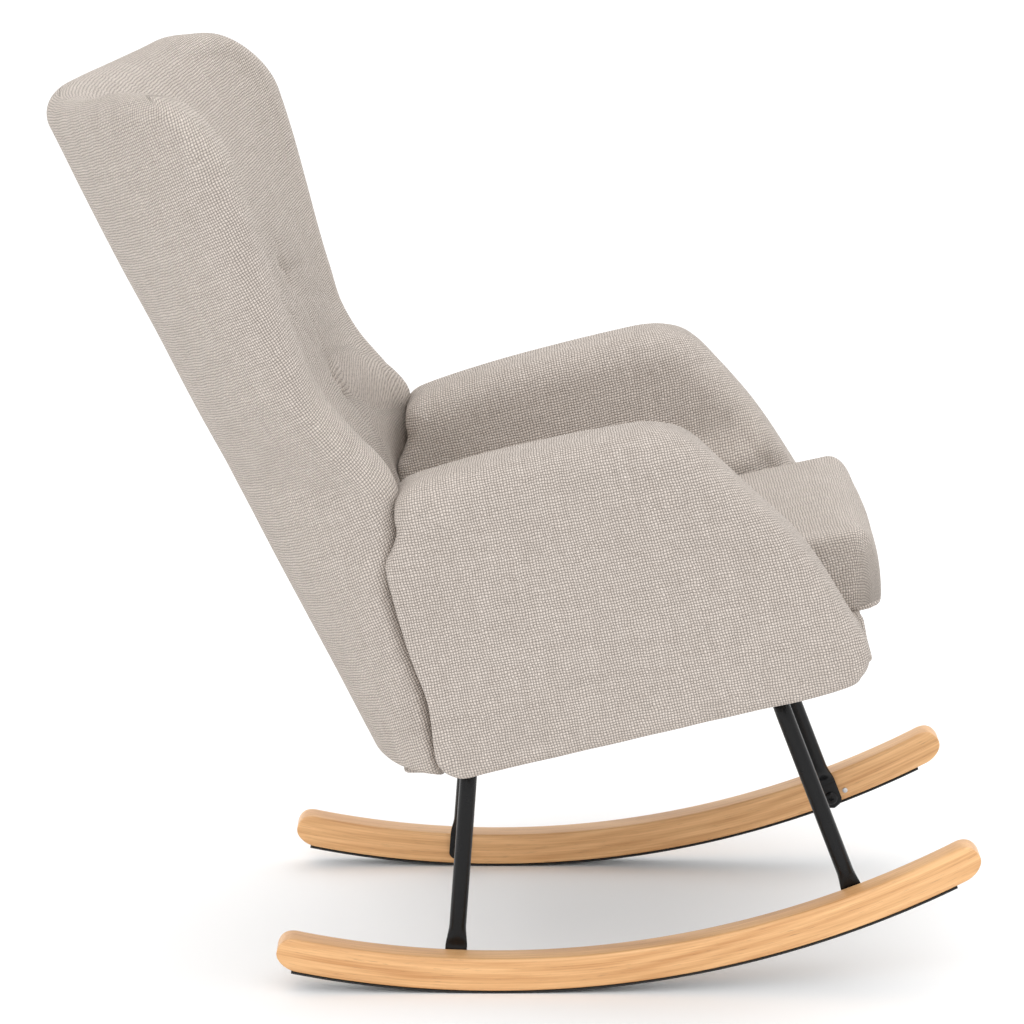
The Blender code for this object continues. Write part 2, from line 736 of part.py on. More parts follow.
def back_inwards(share, z):
    """Unit normal of the outer surface, pointing to the sitter."""
    step = 1e-3
    a = np.clip(share, -0.998, 0.998)
    du = back_surface(a + step, z) - back_surface(a - step, z)
    dv = back_surface(a, z + step) - back_surface(a, z - step)
    normal = np.cross(du, dv)
    normal /= np.linalg.norm(normal)
    return normal if normal[1] < 0 else -normal


def rim_height(share):
    """The rim rises from the middle towards the wings."""
    u = min(abs(share) / 0.85, 1.0)
    return BACK_TOP_Z + RIM_RISE * u * u * (3 - 2 * u)


def corner_share(z):
    """How far across the wings reach at this height: the top corners are rounded off."""
    rise = (z - (BACK_TOP_Z + RIM_RISE - CORNER)) / CORNER
    return 1.0 - 0.20 * (1 - np.sqrt(1 - min(max(rise, 0.0), 1.0) ** 2))


def pad_thickness(share, z):
    middle = (1 - np.abs(share) ** 2.6) ** 1.2
    return RIM_THICKNESS + (PAD_THICKNESS - RIM_THICKNESS) * middle * smooth(PAD_RISE, z)


def back_point(share, z, depth):
    wide = share * corner_share(z)
    return Vector(back_surface(wide, z) + back_inwards(wide, z) * depth)


def clear_of_arms(obj):
    """Keeps the back behind the arms' rear edges, where it meets them."""
    for vertex in obj.data.vertices:
        x, y, z = seat_axes().inverted() @ vertex.co
        inner = ARM_X - ARM_REAR * tan(ARM_SPLAY) - ARM_THICKNESS / 2
        if abs(x) > inner - 0.006 and z < ARM_ROOM_HEIGHT and y < ARM_REAR:
            vertex.co = seat_axes() @ Vector((x, ARM_REAR, z))
    return obj


def mapped_slab(columns, low, near, far):
    """A grid over the back, thickened between two depths that may vary over it."""
    bm = bmesh.new()
    rows = round((BACK_TOP_Z - low) / 0.035)
    bmesh.ops.create_grid(bm, x_segments=columns, y_segments=rows, size=1.0)
    front = bmesh.ops.extrude_face_region(bm, geom=list(bm.faces))
    moved = [v for v in front["geom"] if isinstance(v, bmesh.types.BMVert)]
    for vertex in moved:
        vertex.co.z = 1.0
    for vertex in bm.verts:
        share = vertex.co.x
        z = low + (rim_height(share) - low) * (vertex.co.y + 1) / 2
        depth = far(share, z) if vertex.co.z > 0.5 else near(share, z)
        vertex.co = back_point(share, z, depth)
    return mesh_object(bm, "slab")


def post_axes(z):
    lean = atan(REAR_LEAN)
    y = REAR_BOTTOM[0] + REAR_LEAN * (z - REAR_BOTTOM[1]) - POST_BEHIND
    return Matrix.Translation((0, y, z)) @ Matrix.Rotation(-lean, 4, "X")


def back_frame_boxes():
    """The posts and rails of the back: name, size, and place."""
    length = (POST_TOP_Z - POST_LOW_Z) / cos(atan(REAR_LEAN))
    middle = post_axes((POST_TOP_Z + POST_LOW_Z) / 2)
    boxes = [
        (f"back_post_{name}", (POST_SIZE, POST_SIZE, length),
         Matrix.Translation((side * POST_X, 0, 0)) @ middle)
        for name, side in SIDES.items()
    ]
    size = (2 * (POST_X - POST_SIZE / 2 - GAP), RAIL_THICKNESS, BACK_RAIL_HEIGHT)
    boxes.append(("back_top_rail", size, post_axes(BACK_TOP_RAIL_Z)))
    boxes.append(("back_lower_rail", size, post_axes(BACK_LOWER_RAIL_Z)))
    return boxes




def back_bolt_hole(side):
    return cylinder(BOLT_CLEARANCE, 0.120, across(side * POST_X, *BACK_BOLT_PLACE), 16)


def button_axes(share, z, depth):
    """Local Z pointing at the sitter, at this depth from the outer surface."""
    turn = Vector(back_inwards(share, z)).to_track_quat("Z", "Y").to_matrix()
    return Matrix.Translation(back_point(share, z, depth)) @ turn.to_4x4()


def make_back():
    panel = mapped_slab(22, BACK_BOTTOM_Z, lambda s, z: 0.0, lambda s, z: PANEL_THICKNESS)
    bevel(panel, 0.005, 1, 60)
    inner = PANEL_THICKNESS + 2 * GAP
    pad = clear_of_arms(mapped_slab(22, PAD_BOTTOM_Z, lambda s, z: inner, pad_thickness))
    bevel(pad, 0.018, 3, 60)
    finish(panel, "back_outer_panel", "upholstery")
    for name, size, matrix in back_frame_boxes():
        member = box(size, matrix)
        if name.startswith("back_post"):
            cut(member, back_bolt_hole(SIDES[name.rsplit("_", 1)[1]]))
        wide, deep, high = (length + 2 * GAP for length in size)
        cut(pad, box((wide + RAIL_OVERRUN, deep, high), matrix))
        finish(member, name, "frame_wood")
    for number, (share, z) in enumerate(BUTTON_PLACES, 1):
        surface = float(pad_thickness(share, z))
        cut(pad, cylinder(BUTTON_RADIUS + 0.0015, 0.030, button_axes(share, z, surface), 24))
        bm = bmesh.new()
        bmesh.ops.create_uvsphere(
            bm, u_segments=20, v_segments=8, radius=1.0,
            matrix=Matrix.Diagonal((BUTTON_RADIUS, BUTTON_RADIUS, BUTTON_DOME, 1.0)),
        )
        button = mesh_object(bm, "button")
        button.matrix_world = button_axes(share, z, surface - BUTTON_SUNK)
        finish(button, f"tuft_button_{number}", "upholstery")
    finish(pad, "back_tufted_pad", "upholstery")
    for name, side in SIDES.items():
        head = Matrix.Translation((side * (POST_X - POST_SIZE / 2 - GAP), *BACK_BOLT_PLACE))
        bolt(f"back_bolt_{name}", BOLT_RADIUS, 0.046, 0.0065, 0.0038,
             head @ Matrix.Rotation(side * pi / 2, 4, "Y"))
    skirt = box((0.400, 0.052, 0.016), Matrix.Translation((0, 0.2225, 0.2515)))
    bevel(skirt, 0.005, 2)
    finish(skirt, "rear_skirt", "upholstery")


def make_label():
    label = box((0.024, 0.0010, 0.062), in_seat(0.0, -0.197, -0.033))
    finish(label, "care_label", "label")


def centre_on_floor():
    """Puts the origin under the middle of the whole chair's box; the parts are laid out ahead of it."""
    bpy.context.view_layer.update()
    graph = bpy.context.evaluated_depsgraph_get()
    ends = []
    for obj in CHAIR.objects:
        shown = obj.evaluated_get(graph)
        ends += [(shown.matrix_world @ Vector(corner)).y for corner in shown.bound_box]
    middle = (min(ends) + max(ends)) / 2
    for obj in bpy.data.objects:
        obj.location.y -= middle


clear_scene()
CHAIR = collection("rocking_chair")
CUTTERS = collection("cutters", hidden=True)
make_rockers()
bolt_holes = make_legs()
make_feet()
make_seat_frame(bolt_holes)
make_springs()
make_cushion()
make_arms()
make_back()
make_label()
centre_on_floor()
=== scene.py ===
"""Wing back rocking chair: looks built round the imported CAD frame.

Every surface is laid out in the chair's design axes (the sitter faces -Y, z = 0 is the floor)
and moved into the row frame when its mesh is made. Seat parts use the seat's tilted axes.
"""

from functools import cache

import bmesh
import bpy
import numpy as np
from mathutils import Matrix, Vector


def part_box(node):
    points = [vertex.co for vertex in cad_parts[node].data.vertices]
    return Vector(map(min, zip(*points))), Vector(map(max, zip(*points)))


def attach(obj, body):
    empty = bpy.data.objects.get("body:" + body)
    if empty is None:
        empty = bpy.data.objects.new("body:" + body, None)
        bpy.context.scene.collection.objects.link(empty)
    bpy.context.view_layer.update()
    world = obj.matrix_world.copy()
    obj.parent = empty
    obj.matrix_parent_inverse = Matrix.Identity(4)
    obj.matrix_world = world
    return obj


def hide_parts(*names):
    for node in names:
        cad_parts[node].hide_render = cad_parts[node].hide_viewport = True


bl_info = {
    "name": "Rocking chair looks",
    "version": (1, 0, 0),
    "blender": (4, 5, 0),
    "location": "View3D > Sidebar > Chair",
    "description": "Builds the visible pieces, finishes and stage of a rocking chair",
    "category": "Object",
}

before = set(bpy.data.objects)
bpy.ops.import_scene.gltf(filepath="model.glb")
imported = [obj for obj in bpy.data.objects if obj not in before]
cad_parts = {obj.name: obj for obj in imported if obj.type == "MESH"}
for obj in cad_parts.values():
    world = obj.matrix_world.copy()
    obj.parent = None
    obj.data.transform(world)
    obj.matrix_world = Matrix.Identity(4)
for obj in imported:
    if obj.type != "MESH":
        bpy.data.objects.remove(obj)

SIDES = {"right": -1, "left": 1}

# Places and sizes in metres, in the design axes
ROCKER_FRONT_Y = -0.390
ROCKER_REAR_Y = 0.390
ROCKER_RADIUS = 1.13
ROCKER_CONTACT_Y = 0.146
ROCKER_X = 0.235
ROCKER_WIDTH = 0.036
ROCKER_HEIGHT = 0.038
STRIP_THICKNESS = 0.002
STRIP_REAR_Y = 0.3744
STRIP_FRONT_Y = -0.3664
SKIN = 0.0003
TUBE_RADIUS = 0.0095
TUBE_BEND = 0.040
FOOT_WIDTH = 0.0245
FOOT_THICKNESS = 0.005
FOOT_FLAT = 0.036
FOOT_TAPER = 0.028
FOOT_BELOW_BOLT = 0.013
LEGS = {
    "front": ((-0.2600, 0.0885), 0.386),
    "rear": ((0.1920, 0.0225), -0.0725),
}
SEAT_TILT = np.radians(13.2)
SEAT_BASE_Z = 0.3117
DUST_COVER = 0.001
REAR_BOTTOM = (0.275, 0.259)
REAR_LEAN = 0.545

# Moves the design axes onto the row frame
ROW_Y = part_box("rocker_left")[0][1] - ROCKER_FRONT_Y

# Darkest and lightest colour of each finish
COLOURS = {
    "cloth": ((0.545, 0.474, 0.420), (0.820, 0.735, 0.668)),
    "rubberwood": ((0.560, 0.272, 0.098), (0.860, 0.520, 0.245)),
    "frame_wood": ((0.46, 0.30, 0.16), (0.76, 0.58, 0.38)),
    "black_coat": ((0.0035, 0.0035, 0.0040), (0.010, 0.010, 0.011)),
    "zinc": ((0.46, 0.46, 0.48), (0.72, 0.72, 0.72)),
    "spring_wire": ((0.13, 0.13, 0.14), (0.30, 0.30, 0.31)),
    "antislip": ((0.010, 0.010, 0.010), (0.028, 0.027, 0.026)),
    "lining": ((0.010, 0.010, 0.010), (0.042, 0.042, 0.042)),
    "label": ((0.60, 0.60, 0.59), (0.78, 0.78, 0.77)),
    "floor": ((0.955, 0.955, 0.955), (0.975, 0.975, 0.975)),
}


# ---------------------------------------------------------------- what a user may change


def colour(name, description, default):
    """A colour that a user may change."""
    return bpy.props.FloatVectorProperty(
        name=name, description=description, default=default, subtype="COLOR", size=3, min=0.0, max=1.0
    )


def size(name, description, default):
    """A size in metres that a user may change."""
    return bpy.props.FloatProperty(
        name=name, description=description, default=default, unit="LENGTH", min=0.0, precision=4
    )


class ChairLooks(bpy.types.PropertyGroup):
    """Colours and small sizes of the upholstery and the wood"""

    cloth_dark: colour("Dark yarn", "Darkest yarns of the upholstery", COLOURS["cloth"][0])
    cloth_light: colour("Light yarn", "Lightest yarns of the upholstery", COLOURS["cloth"][1])
    wood_dark: colour("Dark grain", "Darkest grain of the rockers", COLOURS["rubberwood"][0])
    wood_light: colour("Light grain", "Lightest grain of the rockers", COLOURS["rubberwood"][1])
    yarn_width: size("Yarn", "Width of one yarn of the weave", 0.0031)
    tuft_depth: size("Tuft depth", "How deep a button pulls the pad in", 0.0075)
    button_radius: size("Button", "Radius of a covered button", 0.0125)


def looks():
    """The values that a user may change, as they are now."""
    return bpy.context.scene.chair_looks


# ---------------------------------------------------------------- curves and tables

CURVE_STEPS = 24
OUTLINE_EVENING = 4


def smooth(points, value):
    """Cubic Hermite through (position, size) points: h00 a + h01 b + span (h10 a' + h11 b')."""
    places, sizes = np.array(points, float).T
    slopes = np.gradient(sizes, places)
    value = np.clip(value, places[0], places[-1])
    i = np.clip(np.searchsorted(places, value) - 1, 0, len(places) - 2)
    span = places[i + 1] - places[i]
    u = (value - places[i]) / span
    return (
        sizes[i] * (2 * u**3 - 3 * u**2 + 1)
        + sizes[i + 1] * (3 * u**2 - 2 * u**3)
        + slopes[i] * span * (u**3 - 2 * u**2 + u)
        + slopes[i + 1] * span * (u**3 - u**2)
    )


def step(low, high, value):
    """Smooth step: 0 below low, 1 above high, 3u^2 - 2u^3 between."""
    u = np.clip((value - low) / (high - low), 0.0, 1.0)
    return u * u * (3 - 2 * u)


def bell(value, width):
    """exp(-(value / width)^2)."""
    return np.exp(-((value / width) ** 2))


def ripple(a, b, seed, scale):
    """A smooth pseudo-random field in [-1, 1]: the mean of six plane waves, sin(2 pi r . d / l + p)."""
    rng = np.random.default_rng(seed)
    total, waves = 0.0, 6
    for _ in range(waves):
        angle, phase = rng.uniform(0, 2 * np.pi, 2)
        length = scale * rng.uniform(0.6, 1.6)
        total = total + np.sin(2 * np.pi * (a * np.cos(angle) + b * np.sin(angle)) / length + phase)
    return total / waves


def run_length(line):
    """Length along a line up to each of its points."""
    return np.concatenate([[0], np.cumsum(np.linalg.norm(np.diff(line, axis=0), axis=1))])


def read_at(wanted, places, line):
    """Points of a line at the wanted places along it."""
    return np.stack([np.interp(wanted, places, line[:, k]) for k in range(line.shape[1])], 1)


def closed_curve(points, count):
    """A periodic Catmull-Rom curve through the points, read at even arc lengths."""
    p = np.array(points, float)
    a, b, c, d = np.roll(p, 1, 0), p, np.roll(p, -1, 0), np.roll(p, -2, 0)
    u = np.linspace(0, 1, CURVE_STEPS, endpoint=False)[:, None, None]
    curve = 0.5 * (
        2 * b + (c - a) * u + (2 * a - 5 * b + 4 * c - d) * u**2 + (3 * b - a - 3 * c + d) * u**3
    )
    curve = curve.transpose(1, 0, 2).reshape(-1, p.shape[1])
    curve = np.vstack([curve, curve[:1]])
    length = run_length(curve)
    even = np.linspace(0, length[-1], count, endpoint=False)
    return read_at(even, length, curve)


def evened(values, times):
    """Each value becomes the mean of itself and its two neighbours round a closed row."""
    for _ in range(times):
        values = (np.roll(values, 1, 0) + values + np.roll(values, -1, 0)) / 3
    return values


def outward(outline):
    """Unit normals of a closed, anticlockwise 2D outline, evened out a little."""
    run = np.roll(outline, -2, 0) - np.roll(outline, 2, 0)
    normal = np.stack([run[:, 1], -run[:, 0]], 1)
    normal = evened(normal, OUTLINE_EVENING)
    return normal / np.linalg.norm(normal, axis=1, keepdims=True)


# ---------------------------------------------------------------- meshes

WELD = 1e-5
ROLL_STEPS = 9
WALL_STEPS = 7
INWARD_CROWDING = 1.15


def grid_faces(rows, columns, wrap=False):
    """Quads over a grid of vertices; with wrap, the last column meets the first."""
    index = np.arange(rows * columns).reshape(rows, columns)
    if wrap:
        index = np.hstack([index, index[:, :1]])
    quads = [index[:-1, :-1], index[:-1, 1:], index[1:, 1:], index[1:, :-1]]
    return np.stack(quads, -1).reshape(-1, 4)


def from_seat(across, y, z):
    """Seat axes to design axes: turned SEAT_TILT about X and raised to the seat's base."""
    c, s = np.cos(SEAT_TILT), np.sin(SEAT_TILT)
    return np.stack([across, y * c + z * s, SEAT_BASE_Z - y * s + z * c], -1)


def make_piece(name, sheets, look, replaces, weld=WELD):
    """One closed mesh from (points, faces, uv) sheets, riding on the chair."""
    points, faces, uvs, count = [], [], [], 0
    for sheet_points, sheet_faces, sheet_uv in sheets:
        flat = np.asarray(sheet_points, float).reshape(-1, 3)
        points.append(flat)
        faces.append(sheet_faces + count)
        uvs.append(np.asarray(sheet_uv, float).reshape(-1, 2))
        count += len(flat)
    points, faces, uvs = np.vstack(points), np.vstack(faces), np.vstack(uvs)
    mesh = bpy.data.meshes.new(name)
    mesh.from_pydata(points + (0.0, ROW_Y, 0.0), [], faces)
    layer = mesh.uv_layers.new(name="cloth")
    layer.data.foreach_set("uv", uvs[faces.ravel()].ravel())
    bm = bmesh.new()
    bm.from_mesh(mesh)
    bmesh.ops.remove_doubles(bm, verts=bm.verts, dist=weld)
    bmesh.ops.dissolve_degenerate(bm, edges=bm.edges, dist=WELD / 10)
    bmesh.ops.recalc_face_normals(bm, faces=bm.faces)
    if bm.calc_volume(signed=True) < 0:
        bmesh.ops.reverse_faces(bm, faces=bm.faces)
    bm.to_mesh(mesh)
    bm.free()
    mesh.shade_smooth()
    piece = bpy.data.objects.new(name, mesh)
    bpy.context.scene.collection.objects.link(piece)
    mesh.materials.append(LOOKS[look]())
    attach(piece, "root")
    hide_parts(*replaces)
    return piece


def swept(ring):
    """Rings of a sweep, shut at both ends on their middles, and their faces."""
    caps = [end.mean(1, keepdims=True).repeat(ring.shape[1], 1) for end in (ring[:1], ring[-1:])]
    ring = np.concatenate([caps[0], ring, caps[1]])
    return ring, grid_faces(*ring.shape[:2], wrap=True)


def slab(outline, top, bottom, edge_top, edge_bottom, place, rings):
    """A thick closed shape over a 2D outline (N, 2).

    top(u, v) and bottom(u, v) give the two faces' heights. At each outline point the faces
    roll over quarter rounds of the given edge radii: inset = R (1 - cos a), rise = R sin a.
    Inside the rolls the faces run to the middle on scaled copies of the outline.
    """
    normal = outward(outline)
    middle = outline.mean(0)
    turn = np.linspace(0, np.pi / 2, ROLL_STEPS)
    edge_top = np.broadcast_to(edge_top, len(outline))
    edge_bottom = np.broadcast_to(edge_bottom, len(outline))
    towards = np.linspace(0, 1, rings) ** INWARD_CROWDING

    def face(height, edge, sign):
        lips, uvs = [], []
        flat = outline - normal * edge[:, None]
        level = height(flat[:, 0], flat[:, 1])
        for a in turn:
            plan = outline - normal * (edge * (1 - np.cos(a)))[:, None]
            lips.append(np.column_stack([plan, level - sign * edge * (1 - np.sin(a))]))
            uvs.append(flat + normal * (edge * (np.pi / 2 - a))[:, None])
        inner = []
        for k in towards[1:]:
            plan = flat * (1 - k) + middle * k
            inner.append(np.column_stack([plan, height(plan[:, 0], plan[:, 1])]))
            uvs.append(plan)
        return lips + inner, uvs

    upper, upper_uv = face(top, edge_top, 1.0)
    lower, lower_uv = face(bottom, edge_bottom, -1.0)
    walls, wall_uv = [], []
    for k in np.linspace(0, 1, WALL_STEPS):
        walls.append(upper[0] * (1 - k) + lower[0] * k)
        drop = np.linalg.norm(walls[-1] - upper[0], axis=1)
        wall_uv.append(upper_uv[0] + normal * drop[:, None])
    sheets = []
    for group, group_uv in ((upper, upper_uv), (walls, wall_uv), (lower, lower_uv)):
        points = place(*np.moveaxis(np.array(group), -1, 0))
        sheets.append((points, grid_faces(len(group), len(outline), wrap=True), np.array(group_uv)))
    return sheets


# ---------------------------------------------------------------- shader arithmetic


class Flow:
    """One value in a shader tree. Arithmetic on it, on either side, adds Math nodes."""

    def __init__(self, tree, socket):
        self.tree = tree
        self.socket = socket

    def math(self, operation, *others, clamp=False):
        return self.tree.node("ShaderNodeMath", self, *others, operation=operation, use_clamp=clamp).out()

    def __add__(self, other):
        return self.math("ADD", other)

    __radd__ = __add__

    def __mul__(self, other):
        return self.math("MULTIPLY", other)

    __rmul__ = __mul__

    def __sub__(self, other):
        return self.math("SUBTRACT", other)

    def __rsub__(self, other):
        return (self * -1.0) + other

    def __truediv__(self, other):
        return self.math("DIVIDE", other)

    def __pow__(self, other):
        return self.math("POWER", other)

    def fract(self):
        return self.math("FRACT")

    def floor(self):
        return self.math("FLOOR")

    def sine(self):
        return self.math("SINE")

    def clamp(self):
        return self.math("ADD", 0.0, clamp=True)

    def mix(self, low, high):
        """low where this is 0, high where it is 1."""
        return low + self * (high - low)


class Node:
    """A made node, whose outputs are read by number or name."""

    def __init__(self, tree, node):
        self.tree = tree
        self.made = node

    def out(self, key=0):
        return Flow(self.tree, self.made.outputs[key])


class Looks:
    """A material's node tree."""

    def __init__(self, name):
        self.material = bpy.data.materials.new(name)
        self.material.use_nodes = True
        self.nodes = self.material.node_tree.nodes
        self.shader = self.nodes["Principled BSDF"]

    def plug(self, value, socket):
        if isinstance(value, Flow):
            self.material.node_tree.links.new(value.socket, socket)
        else:
            socket.default_value = value

    def node(self, kind, *inputs, **settings):
        """Adds any node, set first: inputs fill its sockets in order, a dict fills them by name or number."""
        made = self.nodes.new(kind)
        for key, value in settings.items():
            setattr(made, key, value)
        sockets = {}
        for position, value in enumerate(inputs):
            sockets.update(value if isinstance(value, dict) else {position: value})
        for key, value in sockets.items():
            self.plug(value, made.inputs[key])
        return Node(self, made)

    def cloth(self):
        """The piece's own cloth coordinates, in metres."""
        uv = self.node("ShaderNodeUVMap", uv_map="cloth").out()
        split = self.node("ShaderNodeSeparateXYZ", uv)
        return split.out(0), split.out(1)

    def place(self):
        return self.node("ShaderNodeTexCoord").out("Object")

    def vector(self, x, y, z=0.0):
        return self.node("ShaderNodeCombineXYZ", x, y, z).out()

    def scaled(self, vector, x, y, z):
        return self.node("ShaderNodeVectorMath", vector, (x, y, z), operation="MULTIPLY").out()

    def noise(self, vector, scale, detail=2.0, roughness=0.5):
        inputs = {"Vector": vector, "Scale": scale, "Detail": detail, "Roughness": roughness}
        return self.node("ShaderNodeTexNoise", inputs).out("Fac")

    def colours(self, factor, dark, light):
        """The dark colour where the factor is 0, the light one where it is 1."""
        sockets = {0: factor, 6: (*dark, 1.0), 7: (*light, 1.0)}
        return self.node("ShaderNodeMix", sockets, data_type="RGBA").out(2)

    def shade(self, colour, factor):
        """The colour made lighter or darker by a factor."""
        sockets = {"Vector": colour, "Scale": factor}
        return self.node("ShaderNodeVectorMath", sockets, operation="SCALE").out()

    def bump(self, height, distance, strength=1.0):
        inputs = {"Height": height, "Distance": distance, "Strength": strength}
        return self.node("ShaderNodeBump", inputs).out()

    def finish(self, **values):
        for key, value in values.items():
            self.plug(value, self.shader.inputs[key.replace("_", " ")])
        return self.material


@cache
def upholstery():
    """Basket weave: raised yarns over and under in a checker, slubbed and mottled, with painted shade between
    the yarns.
    """
    m = Looks("greige_weave")
    yarn = looks().yarn_width
    u, v = m.cloth()
    drift = m.vector(u, v)
    u = u + (m.noise(drift, 55.0) - 0.5) * (1.3 * yarn) + (m.noise(drift, 9.0) - 0.5) * 0.006
    v = v + (m.noise(m.vector(v, u, 3.0), 55.0) - 0.5) * (1.3 * yarn)
    a, b = u / yarn, v / yarn
    fa, fb = a.fract() * 2.0 - 1.0, b.fract() * 2.0 - 1.0
    parity = ((a.floor() + b.floor()) / 2.0).fract() * 2.0
    dome_a, dome_b = 1.0 - fa * fa, 1.0 - fb * fb
    warp = dome_a ** 0.7 * (0.35 + 0.65 * dome_b ** 0.6)
    weft = dome_b ** 0.7 * (0.35 + 0.65 * dome_a ** 0.6)
    height = parity.mix(warp, weft)
    warp_yarn = m.noise(m.vector(a.floor() * 0.37, b * 0.045), 1.0, 3.0)
    weft_yarn = m.noise(m.vector(a * 0.045, b.floor() * 0.37, 7.0), 1.0, 3.0)
    tone = parity.mix(warp_yarn, weft_yarn)
    fleck = m.noise(m.vector(a * 0.55, b * 0.55, 2.0), 1.0, 4.0, 0.7)
    broad = m.noise(drift, 7.0, 2.0)
    light = ((tone - 0.5) * 1.0 + (fleck - 0.5) * 1.1 + (broad - 0.5) * 0.2 + 0.52).clamp()
    base = m.colours(light, looks().cloth_dark, looks().cloth_light)
    # Painted shade: the gaps between the yarns are darkened, and the weft yarns are made a little darker than
    # the warp yarns, as if light falls on the weave from one side.
    shadow = (0.22 + 0.78 * height ** 0.72) * (1.0 - 0.08 * parity)
    fibres = m.noise(m.vector(a, b, 5.0), 6.0, 3.0, 0.7)
    normal = m.bump(height + tone * 0.25 + fibres * 0.12, 0.0013, 1.0)
    return m.finish(
        Base_Color=m.shade(base, shadow), Roughness=0.82 + 0.13 * fleck, Normal=normal,
        Sheen_Weight=0.16, Sheen_Roughness=0.55, Sheen_Tint=(0.95, 0.88, 0.80, 1.0),
        Specular_IOR_Level=0.28,
    )


@cache
def rubberwood():
    """Straight fine grain along the piece: growth bands, pores as short dashes, satin lacquer."""
    m = Looks("rubberwood")
    along, height = m.cloth()
    x = m.node("ShaderNodeSeparateXYZ", m.place()).out(0)
    wander = m.noise(m.vector(along * 2.2, height * 5.0, x * 5.0), 1.0, 2.0)
    rings = height * 62.0 + along * 2.6 + x * 18.0 + wander * 4.2
    band = (rings * 6.2832).sine() * 0.5 + 0.5
    streak = m.noise(m.vector(along * 9.0, height * 420.0, x * 420.0), 1.0, 3.0, 0.6)
    patch = m.noise(m.vector(along * 5.0, height * 24.0, x * 24.0), 1.0, 2.0)
    pores = m.noise(m.vector(along * 55.0, height * 1500.0, x * 1500.0), 1.0, 1.0)
    pore = ((pores - 0.66) * 9.0).clamp()
    light = ((band - 0.5) * 0.34 + (streak - 0.5) * 1.5 + (patch - 0.5) * 0.7 + 0.5).clamp()
    base = m.colours(light, looks().wood_dark, looks().wood_light)
    normal = m.bump(streak * 0.5 - pore * 0.8, 0.00015, 0.6)
    return m.finish(
        Base_Color=m.shade(base, 1.0 - pore * 0.34), Roughness=0.40 + 0.14 * streak, Normal=normal,
        Coat_Weight=0.18, Coat_Roughness=0.28,
    )


@cache
def frame_wood():
    """Sawn softwood: grain bands and saw marks."""
    m = Looks("frame_wood")
    stretched = m.scaled(m.place(), 60.0, 6.0, 60.0)
    grain = m.noise(stretched, 1.0, 4.0, 0.6)
    marks = m.noise(m.scaled(m.place(), 20.0, 900.0, 20.0), 1.0, 1.0)
    base = m.colours(grain, *COLOURS["frame_wood"])
    normal = m.bump(marks + grain, 0.0003, 0.5)
    return m.finish(Base_Color=base, Roughness=0.62 + 0.2 * marks, Normal=normal)


@cache
def black_coat():
    """Semi-gloss powder coat: fine orange peel, rubbed a little brighter in patches."""
    m = Looks("black_coat")
    peel = m.noise(m.place(), 1100.0, 2.0)
    worn = ((m.noise(m.place(), 34.0, 4.0, 0.65) - 0.60) * 5.0).clamp()
    return m.finish(
        Base_Color=m.colours(worn, *COLOURS["black_coat"]), Roughness=0.24 + 0.12 * worn + 0.05 * peel,
        Normal=m.bump(peel, 0.00006, 0.6), Specular_IOR_Level=0.26,
    )


@cache
def zinc():
    """Bright zinc plate with crystalline mottling."""
    m = Looks("zinc")
    mottle = m.noise(m.place(), 420.0, 3.0)
    return m.finish(
        Base_Color=m.colours(mottle, *COLOURS["zinc"]), Roughness=0.24 + 0.22 * mottle, Metallic=1.0,
        Normal=m.bump(mottle, 0.00004, 0.5),
    )


@cache
def spring_wire():
    """Dark drawn wire with oil blotches."""
    m = Looks("spring_wire")
    drawn = m.noise(m.scaled(m.place(), 900.0, 120.0, 900.0), 1.0, 2.0)
    return m.finish(
        Base_Color=m.colours(drawn, *COLOURS["spring_wire"]), Roughness=0.30 + 0.25 * drawn, Metallic=1.0,
        Normal=m.bump(drawn, 0.00004, 0.5),
    )


@cache
def antislip():
    """Matt rubber with a fine pebble and dust in it."""
    m = Looks("antislip")
    pebble = m.noise(m.place(), 950.0, 2.0)
    dust = m.noise(m.place(), 28.0, 3.0)
    return m.finish(
        Base_Color=m.colours(dust, *COLOURS["antislip"]), Roughness=0.78 + 0.15 * dust,
        Normal=m.bump(pebble, 0.00025, 0.8),
    )


@cache
def lining():
    """Black spunbonded sheet: dimples in a diamond grid and tangled fibres."""
    m = Looks("lining")
    split = m.node("ShaderNodeSeparateXYZ", m.place())
    x, y = split.out(0), split.out(1)
    dots = ((x + y) * 1600.0).sine() * ((x - y) * 1600.0).sine()
    fibres = m.noise(m.place(), 700.0, 4.0, 0.7)
    return m.finish(
        Base_Color=m.colours(fibres, *COLOURS["lining"]), Roughness=0.86 + 0.1 * fibres,
        Normal=m.bump(dots * 0.5 + fibres, 0.0002, 0.7),
    )


@cache
def label():
    """Blank woven satin tape."""
    m = Looks("label_tape")
    u, v = m.cloth()
    ribs = (v * 9000.0).sine() * 0.5 + 0.5
    soft = m.noise(m.vector(u, v), 160.0, 3.0)
    return m.finish(
        Base_Color=m.colours(soft, *COLOURS["label"]), Roughness=0.62 + 0.18 * soft,
        Normal=m.bump(ribs, 0.0001, 0.6),
    )


@cache
def floor_paint():
    """Seamless pale studio floor with a trace of unevenness."""
    m = Looks("studio_floor")
    haze = m.noise(m.place(), 1.5, 2.0)
    return m.finish(Base_Color=m.colours(haze, *COLOURS["floor"]), Roughness=0.9 + 0.05 * haze)


LOOKS = {
    "upholstery": upholstery, "rubberwood": rubberwood, "frame_wood": frame_wood,
    "black_coat": black_coat, "zinc": zinc, "spring_wire": spring_wire, "antislip": antislip,
    "lining": lining, "label": label, "floor": floor_paint,
}


# ---------------------------------------------------------------- rockers

